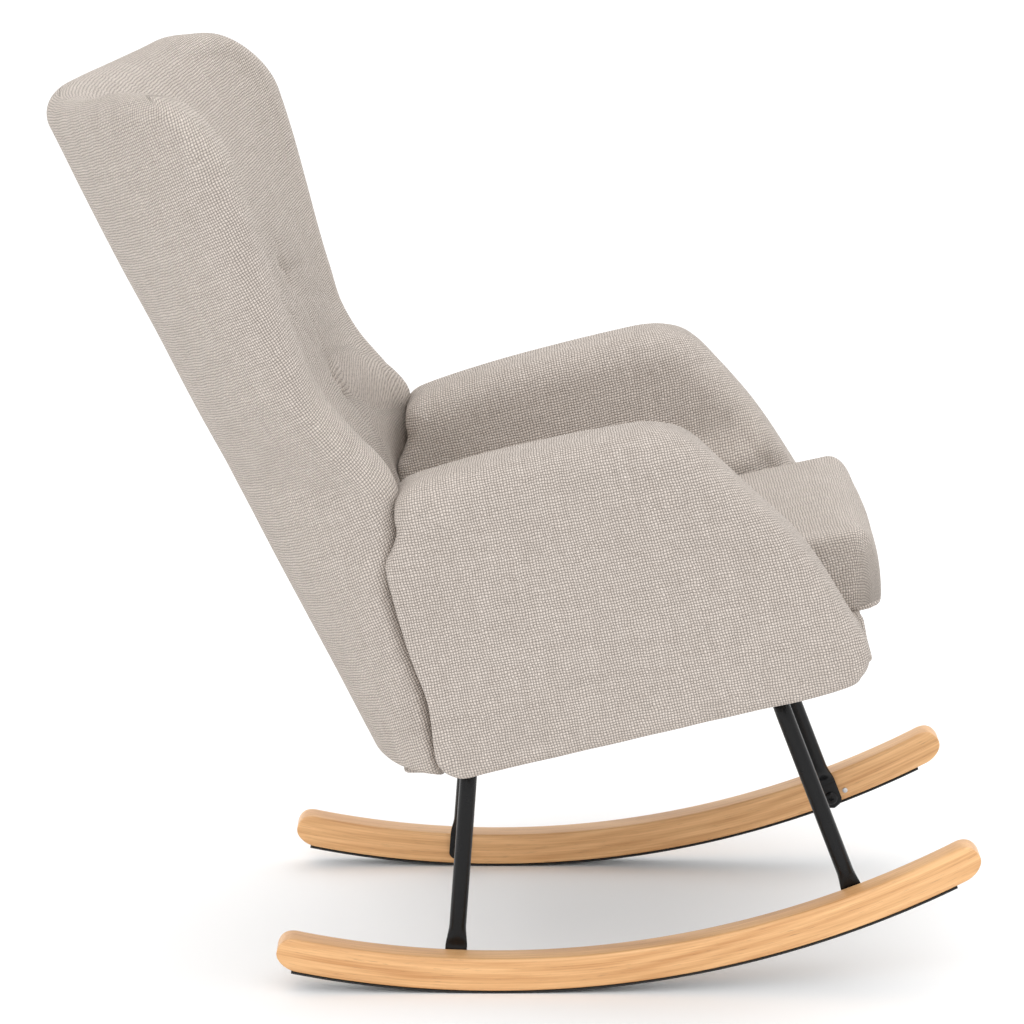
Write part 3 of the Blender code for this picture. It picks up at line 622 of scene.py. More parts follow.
ROCKER_RINGS, ROCKER_POINTS = 420, 56
ROCKER_EASING = 0.0042
BOX_SHARPNESS = 1.9
TIP_REACH = 1.35
TIP_POWER = 2.3
TIP_DROOP = 0.0035
TIP_CROWDING = 0.65
BOARDS_APART = (0.9, 0.02)
STRIP_ACROSS = np.array([-1, -0.97, 0.0, 0.97, 1, 1, 0.97, 0.0, -0.97, -1])
STRIP_DEPTH = np.array([0.3, 0.0, 0.0, 0.0, 0.3, 0.9, 1.0, 1.0, 1.0, 0.9])


def rolled(depth, angle):
    """(y, z) this deep inside the rolling circle: y = c + r sin a, z = R - r cos a."""
    radius = ROCKER_RADIUS - depth
    return ROCKER_CONTACT_Y + radius * np.sin(angle), ROCKER_RADIUS - radius * np.cos(angle)


def rolled_angle(y, depth):
    """The angle at which the circle this deep inside passes y: asin((y - c) / (R - depth))."""
    return np.arcsin((y - ROCKER_CONTACT_Y) / (ROCKER_RADIUS - depth))


def build_rocker(side, name):
    """A rounded rectangle swept along the arc, its height closing at the tips on a superellipse.

    Half height h (1 - i^p)^(1/p), lowered by d i^1.5, with i = 1 - distance from the tip / reach.
    """
    half, wide = ROCKER_HEIGHT / 2, ROCKER_WIDTH / 2
    middle = STRIP_THICKNESS + SKIN + half
    ends = rolled_angle(np.array([ROCKER_REAR_Y, ROCKER_FRONT_Y]), middle)
    radius = ROCKER_RADIUS - middle
    length = radius * (ends[0] - ends[1])
    part = (1 - np.cos(np.linspace(0, np.pi, ROCKER_RINGS))) / 2
    run = ((1 - TIP_CROWDING) * part + TIP_CROWDING * step(0, 1, part)) * length
    inside = np.clip(1 - np.minimum(run, length - run) / (half * TIP_REACH), 0, 1)
    tall = half * np.maximum(1 - inside**TIP_POWER, 0.0) ** (1 / TIP_POWER)
    droop = TIP_DROOP * inside**1.5 * np.clip(tall / half, 0, 1)
    turn = np.linspace(0, 2 * np.pi, ROCKER_POINTS, endpoint=False)
    cos, sin = np.cos(turn), np.sin(turn)
    corner = np.minimum(ROCKER_EASING, tall)[:, None]
    across = (wide - corner) * np.clip(cos * BOX_SHARPNESS, -1, 1) + corner * cos
    up = (tall[:, None] - corner) * np.clip(sin * BOX_SHARPNESS, -1, 1) + corner * sin - droop[:, None]
    angle = (ends[0] - run / radius)[:, None]
    y, z = rolled(middle - up, angle)
    ring = np.stack([side * ROCKER_X + across, y, np.maximum(z, 0.0)], -1)
    uv = np.stack([run[:, None] + 0 * up + side * BOARDS_APART[0], up + side * BOARDS_APART[1]], -1)
    sheet = (ring, grid_faces(*ring.shape[:2], wrap=True), uv)
    make_piece(f"wood_rocker_{name}", [sheet], "rubberwood", [f"rocker_{name}"])


def build_strip(side, name):
    """A thin pad along the rocker's underside, its bottom on the rolling circle."""
    angles = np.linspace(rolled_angle(STRIP_REAR_Y, 0), rolled_angle(STRIP_FRONT_Y, 0), 160)
    across = STRIP_ACROSS * (ROCKER_WIDTH / 2 - 0.001)
    y, z = rolled(STRIP_DEPTH * STRIP_THICKNESS, angles[:, None])
    ring, faces = swept(np.stack([side * ROCKER_X + across + 0 * y, y, z], -1))
    sheet = (ring, faces, ring[..., :2])
    make_piece(f"grip_strip_{name}", [sheet], "antislip", [f"antislip_strip_{name}"])


# ---------------------------------------------------------------- legs

LEG_POINTS = 40
FOOT_CREASE, CREASE_LENGTH = 0.0012, 0.005
FOOT_TIP = 0.0085


def leg_line(foot, lean):
    """Points along one frame from foot to foot, with round bends at the top; its run and bolt."""
    rocker_inner = ROCKER_X - ROCKER_WIDTH / 2
    leg_x = rocker_inner - SKIN - TUBE_RADIUS
    along = np.array([0, lean, 1]) / np.hypot(lean, 1)
    bolt = np.array([leg_x, *foot])
    below = TUBE_RADIUS + DUST_COVER + 2 * SKIN
    base = SEAT_BASE_Z - below / np.cos(SEAT_TILT)
    slope = np.tan(SEAT_TILT)
    top_z = (base - slope * (foot[0] - lean * foot[1])) / (1 + slope * lean)
    reach = (top_z - foot[1]) / along[2]
    straight = np.linspace(-FOOT_BELOW_BOLT, reach - TUBE_BEND, 110)
    leg = bolt + straight[:, None] * along
    inwards = np.array([-1.0, 0.0, 0.0])
    centre = bolt + along * (reach - TUBE_BEND) + inwards * TUBE_BEND
    a = np.linspace(0, np.pi / 2, 16)[1:, None]
    bend = centre - inwards * TUBE_BEND * np.cos(a) + along * TUBE_BEND * np.sin(a)
    level = bend[-1] + inwards * np.linspace(0, leg_x - TUBE_BEND, 20)[1:, None]
    half = np.vstack([leg, bend, level])
    mirrored = half[:-1][::-1] * (-1, 1, 1)
    return np.vstack([half, mirrored]), along, bolt


def build_leg(where):
    """Tube swept along its line; near the feet it is pressed flat and spread against the rocker.

    Half sizes across the run: d + (R - d) s, with s the smooth step from pressed foot to tube.
    """
    foot, lean = LEGS[where]
    line, along, bolt = leg_line(foot, lean)
    run = np.gradient(line, axis=0)
    run /= np.linalg.norm(run, axis=1, keepdims=True)
    wide = np.array([0, along[2], -along[1]])
    thin = np.cross(run, wide)
    turn = np.linspace(0, 2 * np.pi, LEG_POINTS, endpoint=False)
    outwards = np.sign(line[:, :1]) * np.array([1.0, 0.0, 0.0])
    rise = (line - bolt) @ along + FOOT_BELOW_BOLT
    blend = step(FOOT_FLAT - 0.004, FOOT_FLAT + FOOT_TAPER * 0.75, rise)
    tip = np.sqrt(np.clip(1 - (1 - np.clip(rise / FOOT_TIP, 0, 1)) ** 2, 0.02, 1))
    pressed = FOOT_THICKNESS / 2
    deep = pressed + (TUBE_RADIUS - pressed) * blend - FOOT_CREASE * bell(rise - FOOT_FLAT, CREASE_LENGTH)
    broad = (FOOT_WIDTH / 2 + (TUBE_RADIUS - FOOT_WIDTH / 2) * blend) * tip
    shift = (TUBE_RADIUS - pressed) * (1 - blend)
    power = (0.45 + 0.55 * blend)[:, None]
    c = np.sign(np.cos(turn)) * np.abs(np.cos(turn)) ** power
    s = np.sin(turn) + 0 * c
    centre = line + outwards * shift[:, None]
    beside, across = wide * (broad[:, None] * s)[..., None], thin[:, None] * (deep[:, None] * c)[..., None]
    ring, faces = swept(centre[:, None] + beside + across)
    sheet = (ring, faces, ring[..., 1:])
    make_piece(f"tube_frame_{where}", [sheet], "black_coat", [f"leg_frame_{where}"])


# ---------------------------------------------------------------- arms

ARM_OUTLINE = [
    (-0.2350, 0.0095), (-0.120, 0.0060), (0.030, 0.0010), (0.1500, -0.003), (0.1835, -0.004), (0.1967, 0.001),
    (0.2075, 0.012), (0.2107, 0.030), (0.2050, 0.085), (0.2100, 0.130), (0.2132, 0.162), (0.2159, 0.225),
    (0.2135, 0.2470), (0.2030, 0.2610), (0.1945, 0.2760), (0.1925, 0.2960), (0.1840, 0.3140),
    (0.1570, 0.3240), (0.0820, 0.3300), (0.0000, 0.3320), (-0.0720, 0.3315), (-0.0990, 0.3300),
    (-0.1210, 0.3250), (-0.1415, 0.3150), (-0.1570, 0.2990), (-0.1730, 0.2740), (-0.2130, 0.2060),
    (-0.2405, 0.1460), (-0.2640, 0.0785), (-0.2725, 0.0560), (-0.2720, 0.0360), (-0.2600, 0.0190),
]
ARM_HALF = [(-0.28, 0.0500), (-0.15, 0.0530), (0.0, 0.0575), (0.22, 0.0580)]
ARM_MIDDLE = [(-0.28, 0.3090), (-0.20, 0.3000), (-0.10, 0.2860), (0.05, 0.2690), (0.22, 0.2520)]
ARM_TUCK = [(-0.28, 0.029), (-0.19, 0.030), (-0.10, 0.017), (0.0, 0.006), (0.15, 0.0)]
ARM_ASKEW = 0.011
ARM_CROWN = 0.0035
ARM_LEAN = 0.0036
ARM_WAVE, ARM_PUCKER = 0.0009, 0.0010
ARM_EDGE, ARM_TOP_EDGE, ARM_FRONT_EDGE = 0.010, 0.034, 0.012
ARM_MOST_EDGE, ARM_REAR_EDGE = 0.040, 0.38


def build_arm(side, name):
    """A padded slab over the arm's side outline, splayed towards the front.

    Its faces lie at +-(half(u) + crown), where the crown is a smooth step of the distance from
    the outline; the inner one is tucked in by tuck(u) beside the cushion.
    """
    outline = closed_curve(ARM_OUTLINE, 420)
    y, z = outline.T

    def crowned(u, v):
        inside = np.minimum.reduce([0.21 - u, u + 0.25, v, 0.33 - v])
        return smooth(ARM_HALF, u) + ARM_CROWN * step(0.0, 0.11, inside)

    def outer(u, v):
        return crowned(u, v) + ARM_WAVE * ripple(u, v, 5 + side, 0.16) * step(0.0, 0.06, v)

    def inner(u, v):
        beside = step(0.205, 0.148, v) * step(-0.250, -0.188, u)
        return -crowned(u, v) - smooth(ARM_TUCK, u) * beside

    def place(u, v, w):
        lean = ARM_LEAN * step(0.10, 0.33, v)
        pucker = ARM_PUCKER * np.sin(u / 0.0105) * bell(v - 0.012, 0.016) * step(0.02, 0.06, w)
        forward = side * ARM_ASKEW * step(0.10, -0.12, u) * step(0.12, 0.30, v)
        return from_seat(side * (smooth(ARM_MIDDLE, u) + w + pucker - lean), u - forward, v)

    soft = ARM_TOP_EDGE * step(0.10, 0.30, z) + ARM_EDGE + ARM_FRONT_EDGE * step(-0.20, -0.26, y)
    rear = 1 - (1 - ARM_REAR_EDGE) * step(0.165, 0.195, y)
    edge = evened(np.minimum(soft, ARM_MOST_EDGE) * rear, 40)
    sheets = slab(outline, outer, inner, edge, edge, place, 18)
    arm = make_piece(f"padded_arm_{name}", sheets, "upholstery", [f"arm_{name}"])


# ---------------------------------------------------------------- seat


CUSHION_SIDE = [
    (0.090, -0.3062), (0.176, -0.3035), (0.1960, -0.2935), (0.2010, -0.272), (0.2015, -0.150),
    (0.2000, 0.0), (0.1975, 0.130), (0.188, 0.172), (0.150, 0.180),
]
CUSHION_FRONT_Y, CUSHION_REAR_Y = -0.3075, 0.182
CUSHION_TOP, CUSHION_CROWN, CUSHION_SAG = 0.1440, 0.0170, 0.004
CUSHION_BOTTOM, CUSHION_LIP = 0.0680, 0.0155
CUSHION_BELLY = 0.005
SKIRT_Y, SKIRT_Z = 0.2225, 0.2495
LABEL_SIZE, LABEL_THICKNESS, LABEL_Y = (0.024, 0.062), 0.0006, -0.197


def build_cushion():
    """A crowned pad with a soft roll over the front and boxed sides.

    Its top is base + crown (1 - (x / 0.2)^2.6) - sag exp(-r^2), and its front bows out on sin w.
    """
    other = [(-x, y) for x, y in CUSHION_SIDE]
    nose, tail = (0.0, CUSHION_FRONT_Y), (0.0, CUSHION_REAR_Y)
    plan = closed_curve([*other[3::-1], nose, *CUSHION_SIDE, tail, *other[:3:-1]], 440)
    x, y = plan.T

    def top(u, v):
        middle = 1 - np.clip(np.abs(u) / 0.2, 0, 1) ** 2.6
        front = 0.85 + 0.15 * step(-0.31, -0.16, v)
        sag = CUSHION_SAG * bell(u, 0.12) * bell(v + 0.03, 0.12)
        return CUSHION_TOP + CUSHION_CROWN * middle * front - sag + 0.0012 * ripple(u, v, 11, 0.13)

    def bottom(u, v):
        return CUSHION_BOTTOM - CUSHION_LIP * step(-0.215, -0.262, v)

    def place(u, v, w):
        rise = np.clip((w - 0.06) / 0.09, 0, 1)
        return from_seat(u, v - CUSHION_BELLY * np.sin(np.pi * rise) * step(-0.20, -0.28, v), w)

    front = step(-0.275, -0.298, y) * step(0.196, 0.150, np.abs(x))
    sheets = slab(plan, top, bottom, evened(0.013 + 0.030 * front, 30), 0.007 + 0.008 * front, place, 26)
    cushion = make_piece("seat_pad", sheets, "upholstery", ["seat_cushion"])


def rounded_box(size, radius, place, count=200):
    """A soft-edged box as a slab over a rounded rectangle of the two larger sides.

    The rectangle's corner points are spread evenly in its length plus its turning.
    """
    wide, high, thick = size
    a = np.linspace(0, 2 * np.pi, 401)
    c, s = np.cos(a), np.sin(a)
    outline = np.stack([
        (wide / 2 - radius) * np.sign(c + 1e-9) + radius * c,
        (high / 2 - radius) * np.sign(s + 1e-9) + radius * s,
    ], 1)
    outline[-1] = outline[0]
    length = run_length(outline)
    spent = length / length[-1] + a / (2 * np.pi)
    plan = read_at(np.linspace(0, 2, count, endpoint=False), spent, outline)
    half = thick / 2
    edge = min(radius * 0.7, half * 0.9)
    return slab(plan, lambda u, v: half + 0 * u, lambda u, v: -half + 0 * u, edge, edge, place, 10)


def node_width(name):
    """The CAD node's size along X."""
    low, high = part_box(name)
    return high[0] - low[0]


def build_apron():
    """The padded strip under the cushion, across the front between the arms."""

    def place(u, v, w):
        wave = 0.0012 * np.sin(u / 0.017) * step(0.0, 0.02, np.abs(v))
        return from_seat(u, -0.2655 - w + wave, 0.0275 + v)

    sheets = rounded_box((node_width("front_apron"), 0.054, 0.022), 0.007, place)
    apron = make_piece("front_strip", sheets, "upholstery", ["front_apron"])


def build_skirt():
    """The cover's lower end, drawn under the back between the arms."""

    def place(u, v, w):
        gather = 0.0018 * np.sin(u / 0.0075) * step(0.08, 0.19, np.abs(u))
        return np.stack([u, SKIRT_Y + v, SKIRT_Z + w + gather], -1)

    sheets = rounded_box((node_width("rear_skirt"), 0.052, 0.016), 0.006, place)
    skirt = make_piece("back_flap", sheets, "upholstery", ["rear_skirt"])


def build_label():
    """A blank tape hanging from the dust cover, curled on v^2 and twisted in proportion to v."""
    wide, long = LABEL_SIZE
    u, v = np.meshgrid(np.linspace(-wide / 2, wide / 2, 15), np.linspace(0, long, 40))
    curl = 0.004 * (v / long) ** 2 + 0.001 * np.sin(v / 0.012)
    twist = np.radians(20 + 14 * v / long)
    c, s = np.cos(twist), np.sin(twist)
    sheets, borders = [], []
    for side in (-LABEL_THICKNESS / 2, LABEL_THICKNESS / 2):
        points = from_seat(u * c - side * s, LABEL_Y + curl + u * s + side * c, -0.002 - v)
        sheets.append((points, grid_faces(*u.shape), np.stack([u, v], -1)))
        borders.append(np.concatenate([points[0], points[:, -1], points[-1][::-1], points[:, 0][::-1]]))
    ring = np.array(borders)
    sheets.append((ring, grid_faces(2, ring.shape[1], wrap=True), ring[..., :2]))
    make_piece("blank_label", sheets, "label", ["care_label"])


# ---------------------------------------------------------------- back

BACK_LOW = 0.258
RIM, PAD, ROLL_OUT = 0.056, 0.128, 0.026
WING_HALF_WIDTH = [
    (0.262, 0.287), (0.45, 0.291), (0.57, 0.303), (0.74, 0.334), (0.90, 0.354), (1.02, 0.355),
]
WING_DEPTH = [
    (0.262, 0.080), (0.30, 0.095), (0.35, 0.114), (0.42, 0.128), (0.48, 0.146), (0.53, 0.178),
    (0.556, 0.189), (0.576, 0.200), (0.60, 0.187), (0.63, 0.172), (0.67, 0.164), (0.72, 0.170),
    (0.82, 0.191), (0.90, 0.207), (0.98, 0.219), (1.02, 0.224),
]
WING_OPENING = [(0.262, 88.0), (0.57, 82.0), (0.80, 76.0), (1.02, 72.0)]
SQUARENESS = [(0.262, 0.62), (0.57, 0.80), (0.80, 0.97), (1.02, 1.0)]
REAR_SWELL = [
    (0.262, 0.010), (0.40, 0.010), (0.52, 0.009), (0.62, 0.007), (0.72, 0.003), (0.80, 0.002),
    (0.88, -0.002), (0.94, -0.006), (0.98, -0.0075), (1.02, -0.009),
]
RIM_HEIGHT = [(0.0, 0.971), (0.25, 0.972), (0.50, 0.979), (0.70, 0.990), (0.85, 1.001), (1.0, 1.004)]
PAD_RISE = [
    (0.20, 0.0), (0.33, 0.0), (0.46, 0.96), (0.60, 1.0), (0.78, 0.98), (0.90, 0.55), (0.972, 0.0),
]
BUTTONS = [(-0.36, 0.700), (0.0, 0.700), (0.36, 0.700), (-0.33, 0.570), (0.33, 0.570)]
FOLDS = [(0, 3), (3, 1), (1, 4), (4, 2)]
CORNER = 0.068
CORNER_SHARE = 0.20
BACK_ASKEW = 0.020
BACK_COLUMNS, BACK_ROWS = 258, 185
BACK_WELD = 2e-5
RIM_ROLL, RIM_PORTION = 0.085, 0.15
TUFT_ACROSS, TUFT_UP = 0.36, 1.14
BUTTON_HEIGHT = 0.0052
BUTTON_PROUD = 0.0025


def rear_y(z):
    """The back's outer line: y = y0 + lean (z - z0) + swell(z)."""
    return REAR_BOTTOM[0] + REAR_LEAN * (z - REAR_BOTTOM[1]) + smooth(REAR_SWELL, z)


def shell_point(share, z):
    """Outer surface: x = W (sin ot / sin o)^p, y = rear - D (1 - cos ot) / (1 - cos o)."""
    t = np.abs(share)
    opening = np.radians(smooth(WING_OPENING, z))
    x = smooth(WING_HALF_WIDTH, z) * (np.sin(opening * t) / np.sin(opening)) ** smooth(SQUARENESS, z)
    drop = smooth(WING_DEPTH, z) * (1 - np.cos(opening * t)) / (1 - np.cos(opening))
    x = np.sign(share) * x
    hang = BACK_ASKEW * x * step(0.55, 0.90, z)
    return np.stack([x, rear_y(z) - drop - hang, z + 0 * x], -1)


def shell_normal(share, z):
    """Unit normal of the outer surface, pointing to the sitter, by central differences."""
    a = np.clip(share, -0.998, 0.998)
    du = shell_point(a + 1e-3, z) - shell_point(a - 1e-3, z)
    dv = shell_point(a, z + 1e-3) - shell_point(a, z - 1e-3)
    normal = np.cross(du, dv)
    normal /= np.linalg.norm(normal, axis=-1, keepdims=True)
    return normal * -np.sign(normal[..., 1:2])


def rim_height(share):
    """The top rim's height, higher at the wings than in the middle."""
    return smooth(RIM_HEIGHT, np.abs(share))


def from_edge(t, roll, portion):
    """Distance from an edge, 0 to 1, for even steps t: roll (1 - cos) over the rim, then a quadratic."""
    slope = roll * np.pi / (2 * portion)
    rest = 1 - portion
    curve = (1 - roll - slope * rest) / rest**2
    past = np.maximum(t - portion, 0.0)
    near = roll * (1 - np.cos(np.pi / 2 * t / portion))
    return np.where(t < portion, near, roll + slope * past + curve * past**2)


def shell_grid(columns, rows):
    """Share and height over the back, crowded over the rim's roll, with round top corners.

    Also each point's distance from the nearest edge, d = (a^-4 + b^-4 + c^-4)^(-1/4) of its
    distances from the side, the top and the bottom, so that it's 0 on the border only, and how
    much each of the three counts in it.
    """
    even = [np.linspace(-1, 1, count) for count in (columns, rows)]
    u, v = (np.sign(t) * (1 - from_edge(1 - np.abs(t), RIM_ROLL, RIM_PORTION)) for t in even)
    u, v = np.meshgrid(u, (1 + v) / 2)
    top = rim_height(u)
    z = BACK_LOW + (top - BACK_LOW) * v
    rise = np.clip(1 - (top - z) / CORNER, 0, 1)
    share = u * (1 - CORNER_SHARE * (1 - np.sqrt(1 - rise**2)))
    gaps = [(1 - np.abs(u)) * smooth(WING_HALF_WIDTH, z) * 1.12, (top - z) * 1.14, (z - BACK_LOW) * 2.6]
    weights = np.array([np.maximum(gap, 1e-9) ** -4.0 for gap in gaps])
    return share, z, weights.sum(0) ** -0.25, weights / weights.sum(0)


def quarter(distance, radius):
    """How far a quarter round of this radius falls at this distance from the edge."""
    short = np.clip(radius - distance, 0, radius)
    return radius - np.sqrt(radius**2 - short**2)


def laid_cloth(skin, share, away, weights, radius):
    """Cloth coordinates of the back: v = r . l up its lean, du = sqrt(|dr|^2 - dv^2) along each row.

    Over the rim's roll, asin(b) - b radii are added towards the edge, b = 1 - away / radius.
    """
    lean = np.array([0.0, REAR_LEAN, 1.0]) / np.hypot(REAR_LEAN, 1.0)
    v = skin @ lean
    run = np.diff(skin, axis=1, prepend=skin[:, :1])
    u = np.cumsum(np.sqrt(np.maximum((run**2).sum(2) - (run @ lean) ** 2, 0.0)), 1)
    middle = skin.shape[1] // 2
    b = np.clip(1 - away / radius, 0, 1)
    more = radius * (np.arcsin(b) - b)
    side, top, low = weights
    across = u - u[:, middle : middle + 1] + np.sign(share) * side * more
    return np.stack([across, v + (top - low) * more], -1)


def tufting(share, z):
    """Depth pulled in by the buttons, the folds between them and the pleats that run out."""
    x, h = share * TUFT_ACROSS, z * TUFT_UP
    total = 0.0
    knots = [(s * TUFT_ACROSS, b * TUFT_UP) for s, b in BUTTONS]
    for kx, kh in knots:
        away = np.hypot(x - kx, h - kh)
        total = total + looks().tuft_depth * (bell(away, 0.015) + 0.8 * bell(away, 0.045))
    runs = [(knots[i], knots[j]) for i, j in FOLDS]
    runs += [(k, (k[0] * 1.25, k[1] + 0.085)) for k in knots[:3]]
    runs += [(k, (k[0] * 1.15, k[1] - 0.080)) for k in knots[3:]]
    runs += [(knots[0], (-0.250, knots[0][1] + 0.02)), (knots[2], (0.250, knots[2][1] + 0.02))]
    for (ax, ah), (bx, bh) in runs:
        dx, dh = bx - ax, bh - ah
        along = np.clip(((x - ax) * dx + (h - ah) * dh) / (dx * dx + dh * dh), 0, 1)
        off = np.hypot(x - ax - along * dx, h - ah - along * dh)
        fade = 1 - 0.55 * step(0.1, 1.0, along)
        total = total + 0.0020 * bell(off, 0.0080) * fade * step(1.15, 0.6, along)
    return total


def pad_depth(share, z):
    """The stuffed inner face: the rim's thickness plus a centre that swells between the wings."""
    middle = (1 - np.abs(share) ** 2.6) ** 1.2
    return RIM + (PAD - RIM) * middle * smooth(PAD_RISE, z)


def build_back():
    """Cover and tufted pad as one closed skin: two sheets that meet at the middle of the rim's roll.

    Each lies along the shell's normal, at loose(r) or pad(r) - tufts(r), less a quarter round.
    """
    share, z, away, weights = shell_grid(BACK_COLUMNS, BACK_ROWS)
    normal = shell_normal(share, z)
    skin = shell_point(share, z)
    loose = 0.0010 * ripple(share * TUFT_ACROSS, z, 3, 0.22) * step(0.03, 0.10, away)
    outside = quarter(away, ROLL_OUT) + loose
    inside = pad_depth(share, z) - tufting(share, z) * step(0.0, 0.05, away)
    inside = inside - quarter(away, RIM - ROLL_OUT)
    sheets = []
    for depth, radius in ((outside, ROLL_OUT), (inside, RIM - ROLL_OUT)):
        uv = laid_cloth(skin, share, away, weights, radius)
        sheets.append((skin + normal * depth[..., None], grid_faces(*z.shape), uv))
    stands_for = ["back_outer_panel", "back_tufted_pad"]
    back = make_piece("wing_back", sheets, "upholstery", stands_for, BACK_WELD)


def build_buttons():
    """Covered buttons: a flattened dome, r = R sin a, h = H cos a, sunk in each tuft."""
    radius = looks().button_radius
    a = np.linspace(0, np.pi, 40)[:, None]
    b = np.linspace(0, 2 * np.pi, 64, endpoint=False)
    plan = radius * np.sin(a)
    flat = np.stack([plan * np.cos(b), plan * np.sin(b), BUTTON_HEIGHT * np.cos(a) + 0 * b], -1)
    faces = grid_faces(*flat.shape[:2], wrap=True)
    for number, (share, z) in enumerate(BUTTONS, 1):
        share, z = np.array(share), np.array(z)
        normal = Vector(shell_normal(share, z))
        depth = float(pad_depth(share, z) - tufting(share, z)) + BUTTON_PROUD
        place = Vector(shell_point(share, z)) + normal * depth
        turn = np.array(normal.to_track_quat("Z", "Y").to_matrix())
        sheet = (flat @ turn.T + np.array(place), faces, flat[..., :2] * 1.1)
        node = f"tuft_button_{number}"
        make_piece(f"covered_button_{number}", [sheet], "upholstery", [node])


# ---------------------------------------------------------------- carried-over CAD nodes

CAD_LOOKS = {
    "foot_bolt": "black_coat", "seat_bolt": "black_coat", "arm_bolt": "black_coat",
    "back_bolt": "black_coat",
    "threaded_insert": "zinc", "lock_screw": "zinc", "seat_rail": "frame_wood", "leg_batten": "frame_wood",
    "arm_board": "frame_wood", "back_post": "frame_wood", "back_top_rail": "frame_wood",
    "back_lower_rail": "frame_wood", "seat_spring": "spring_wire", "dust_cover": "lining",
    "spring_cover_felt": "lining",
}


def finish_cad():
    """Gives each CAD node that is kept the finish that its name starts with."""
    for name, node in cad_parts.items():
        for start, look in CAD_LOOKS.items():
            if name.startswith(start):
                node.data.materials.clear()
                node.data.materials.append(LOOKS[look]())


# ---------------------------------------------------------------- stage

CAMERA_PLACE = (-4.7662, 0.128, 1.5745)
CAMERA_PITCH = np.radians(90 - 12.779)
CAMERA_LENS = 149.8
CHAIR_MIDDLE = (0.0, 0.10 + ROW_Y, 0.50)
FLOOR_HALF = 30
SKY_STRENGTH = 1.12


def add_light(name, kind, place, **settings):
    """A light aimed at the chair's middle; the settings are Blender's own."""
    data = bpy.data.lights.new(name, kind)
    for key, value in settings.items():
        setattr(data, key, value)
    light = bpy.data.objects.new(name, data)
    bpy.context.scene.collection.objects.link(light)
    light.location = place
    light.rotation_euler = (Vector(CHAIR_MIDDLE) - Vector(place)).to_track_quat("-Z", "Y").to_euler()


def build_floor():
    """A flat grid, z = 0."""
    u, v = np.meshgrid(*[np.linspace(-FLOOR_HALF, FLOOR_HALF, 25)] * 2)
    mesh = bpy.data.meshes.new("studio_floor")
    mesh.from_pydata(np.stack([u, v, 0 * u], -1).reshape(-1, 3), [], grid_faces(*u.shape))
    mesh.materials.append(LOOKS["floor"]())
    floor = bpy.data.objects.new("studio_floor", mesh)
    bpy.context.scene.collection.objects.link(floor)


def build_sky():
    """Even white light from all round."""
    world = bpy.data.worlds.new("studio_sky")
    bpy.context.scene.world = world
    world.use_nodes = True
    background = world.node_tree.nodes["Background"]
    background.inputs["Color"].default_value = (1.0, 1.0, 1.0, 1.0)
    background.inputs["Strength"].default_value = SKY_STRENGTH


def build_camera():
    """A long lens, level along +X but for its pitch."""
    scene = bpy.context.scene
    camera = bpy.data.objects.new("camera", bpy.data.cameras.new("camera"))
    camera.data.lens = CAMERA_LENS
    camera.data.sensor_width = 36.0
    camera.data.clip_end = 200.0
    camera.location = Vector(CAMERA_PLACE) + Vector((0.0, ROW_Y, 0.0))
    camera.rotation_euler = (CAMERA_PITCH, 0.0, -np.pi / 2)
    scene.collection.objects.link(camera)
    scene.camera = camera
    scene.view_settings.view_transform = "Standard"


def build_stage():
    """Pale floor, an even sky, a soft sun, a soft box and the camera."""
    build_floor()
    build_sky()
    add_light("key_sun", "SUN", (-3.2, 0.9, 3.0), angle=np.radians(42.0), energy=0.60)
    add_light("top_box", "AREA", (0.4, -0.4, 3.4), shape="RECTANGLE", size=2.6, size_y=2.6, energy=22.0)
    build_camera()


# ---------------------------------------------------------------- add-on


def each_side(builder):
    """Runs a builder for the sitter's right and left."""
    for name, side in SIDES.items():
        builder(side, name)


class ChairOperator:
    """Options that all of the chair's operators share"""

    bl_options = {"REGISTER", "UNDO"}


class CHAIR_OT_rockers(ChairOperator, bpy.types.Operator):
    """Builds the wooden rockers and their grip strips"""

    bl_idname = "chair.rockers"
    bl_label = "Rockers"

    def execute(self, context):
        each_side(build_rocker)
        each_side(build_strip)
        return {"FINISHED"}


class CHAIR_OT_legs(ChairOperator, bpy.types.Operator):
    """Builds the bent tube leg frames"""

    bl_idname = "chair.legs"
    bl_label = "Legs"

    def execute(self, context):
        for where in LEGS:
            build_leg(where)
        return {"FINISHED"}


class CHAIR_OT_arms(ChairOperator, bpy.types.Operator):
    """Builds the padded arms"""

    bl_idname = "chair.arms"
    bl_label = "Arms"

    def execute(self, context):
        each_side(build_arm)
        return {"FINISHED"}


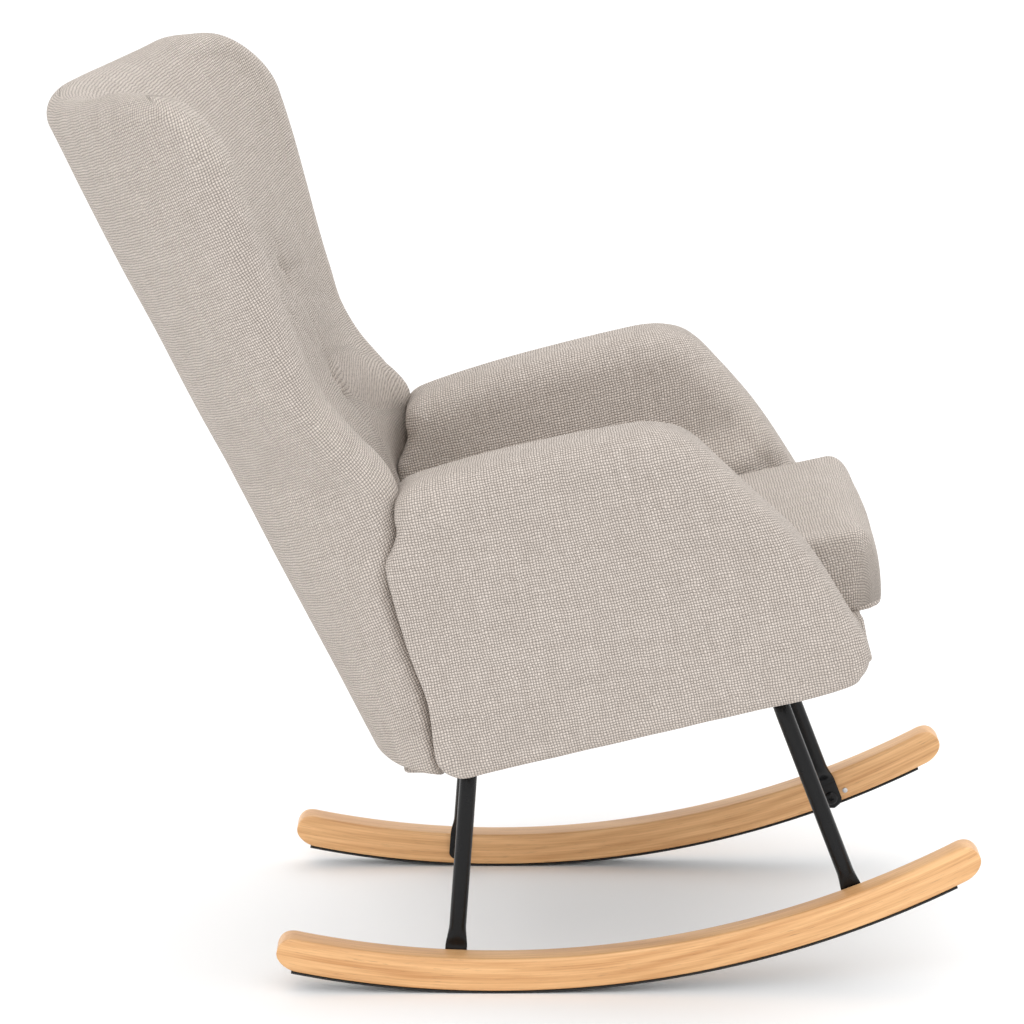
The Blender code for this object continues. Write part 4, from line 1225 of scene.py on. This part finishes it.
class CHAIR_OT_seat(ChairOperator, bpy.types.Operator):
    """Builds the cushion, the front strip, the rear flap and the label"""

    bl_idname = "chair.seat"
    bl_label = "Seat"

    def execute(self, context):
        build_cushion()
        build_apron()
        build_skirt()
        build_label()
        return {"FINISHED"}


class CHAIR_OT_back(ChairOperator, bpy.types.Operator):
    """Builds the tufted wing back and its buttons"""

    bl_idname = "chair.back"
    bl_label = "Back"

    def execute(self, context):
        build_back()
        build_buttons()
        return {"FINISHED"}


class CHAIR_OT_hardware(ChairOperator, bpy.types.Operator):
    """Gives the carried-over CAD nodes their finishes"""

    bl_idname = "chair.hardware"
    bl_label = "Hardware"

    def execute(self, context):
        finish_cad()
        return {"FINISHED"}


class CHAIR_OT_stage(ChairOperator, bpy.types.Operator):
    """Builds the floor, lights and camera"""

    bl_idname = "chair.stage"
    bl_label = "Stage"

    def execute(self, context):
        build_stage()
        return {"FINISHED"}


OPERATORS = (
    CHAIR_OT_rockers, CHAIR_OT_legs, CHAIR_OT_arms, CHAIR_OT_seat, CHAIR_OT_back,
    CHAIR_OT_hardware, CHAIR_OT_stage,
)


class CHAIR_PT_panel(bpy.types.Panel):
    """Lists what a user may change, and the operators"""

    bl_idname = "CHAIR_PT_panel"
    bl_label = "Rocking chair"
    bl_space_type = "VIEW_3D"
    bl_region_type = "UI"
    bl_category = "Chair"

    def draw(self, context):
        for name in ChairLooks.__annotations__:
            self.layout.prop(looks(), name)
        for operator in OPERATORS:
            self.layout.operator(operator.bl_idname)


CLASSES = (ChairLooks, *OPERATORS, CHAIR_PT_panel)


def register():
    """Adds the classes and the chair's values to Blender."""
    for cls in CLASSES:
        bpy.utils.register_class(cls)
    bpy.types.Scene.chair_looks = bpy.props.PointerProperty(type=ChairLooks)


def unregister():
    """Takes them out again."""
    del bpy.types.Scene.chair_looks
    for cls in reversed(CLASSES):
        bpy.utils.unregister_class(cls)


def main():
    """Runs every operator once."""
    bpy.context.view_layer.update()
    register()
    for operator in OPERATORS:
        group, name = operator.bl_idname.split(".")
        getattr(getattr(bpy.ops, group), name)()
    bpy.context.view_layer.update()


if __name__ == "__main__":
    main()
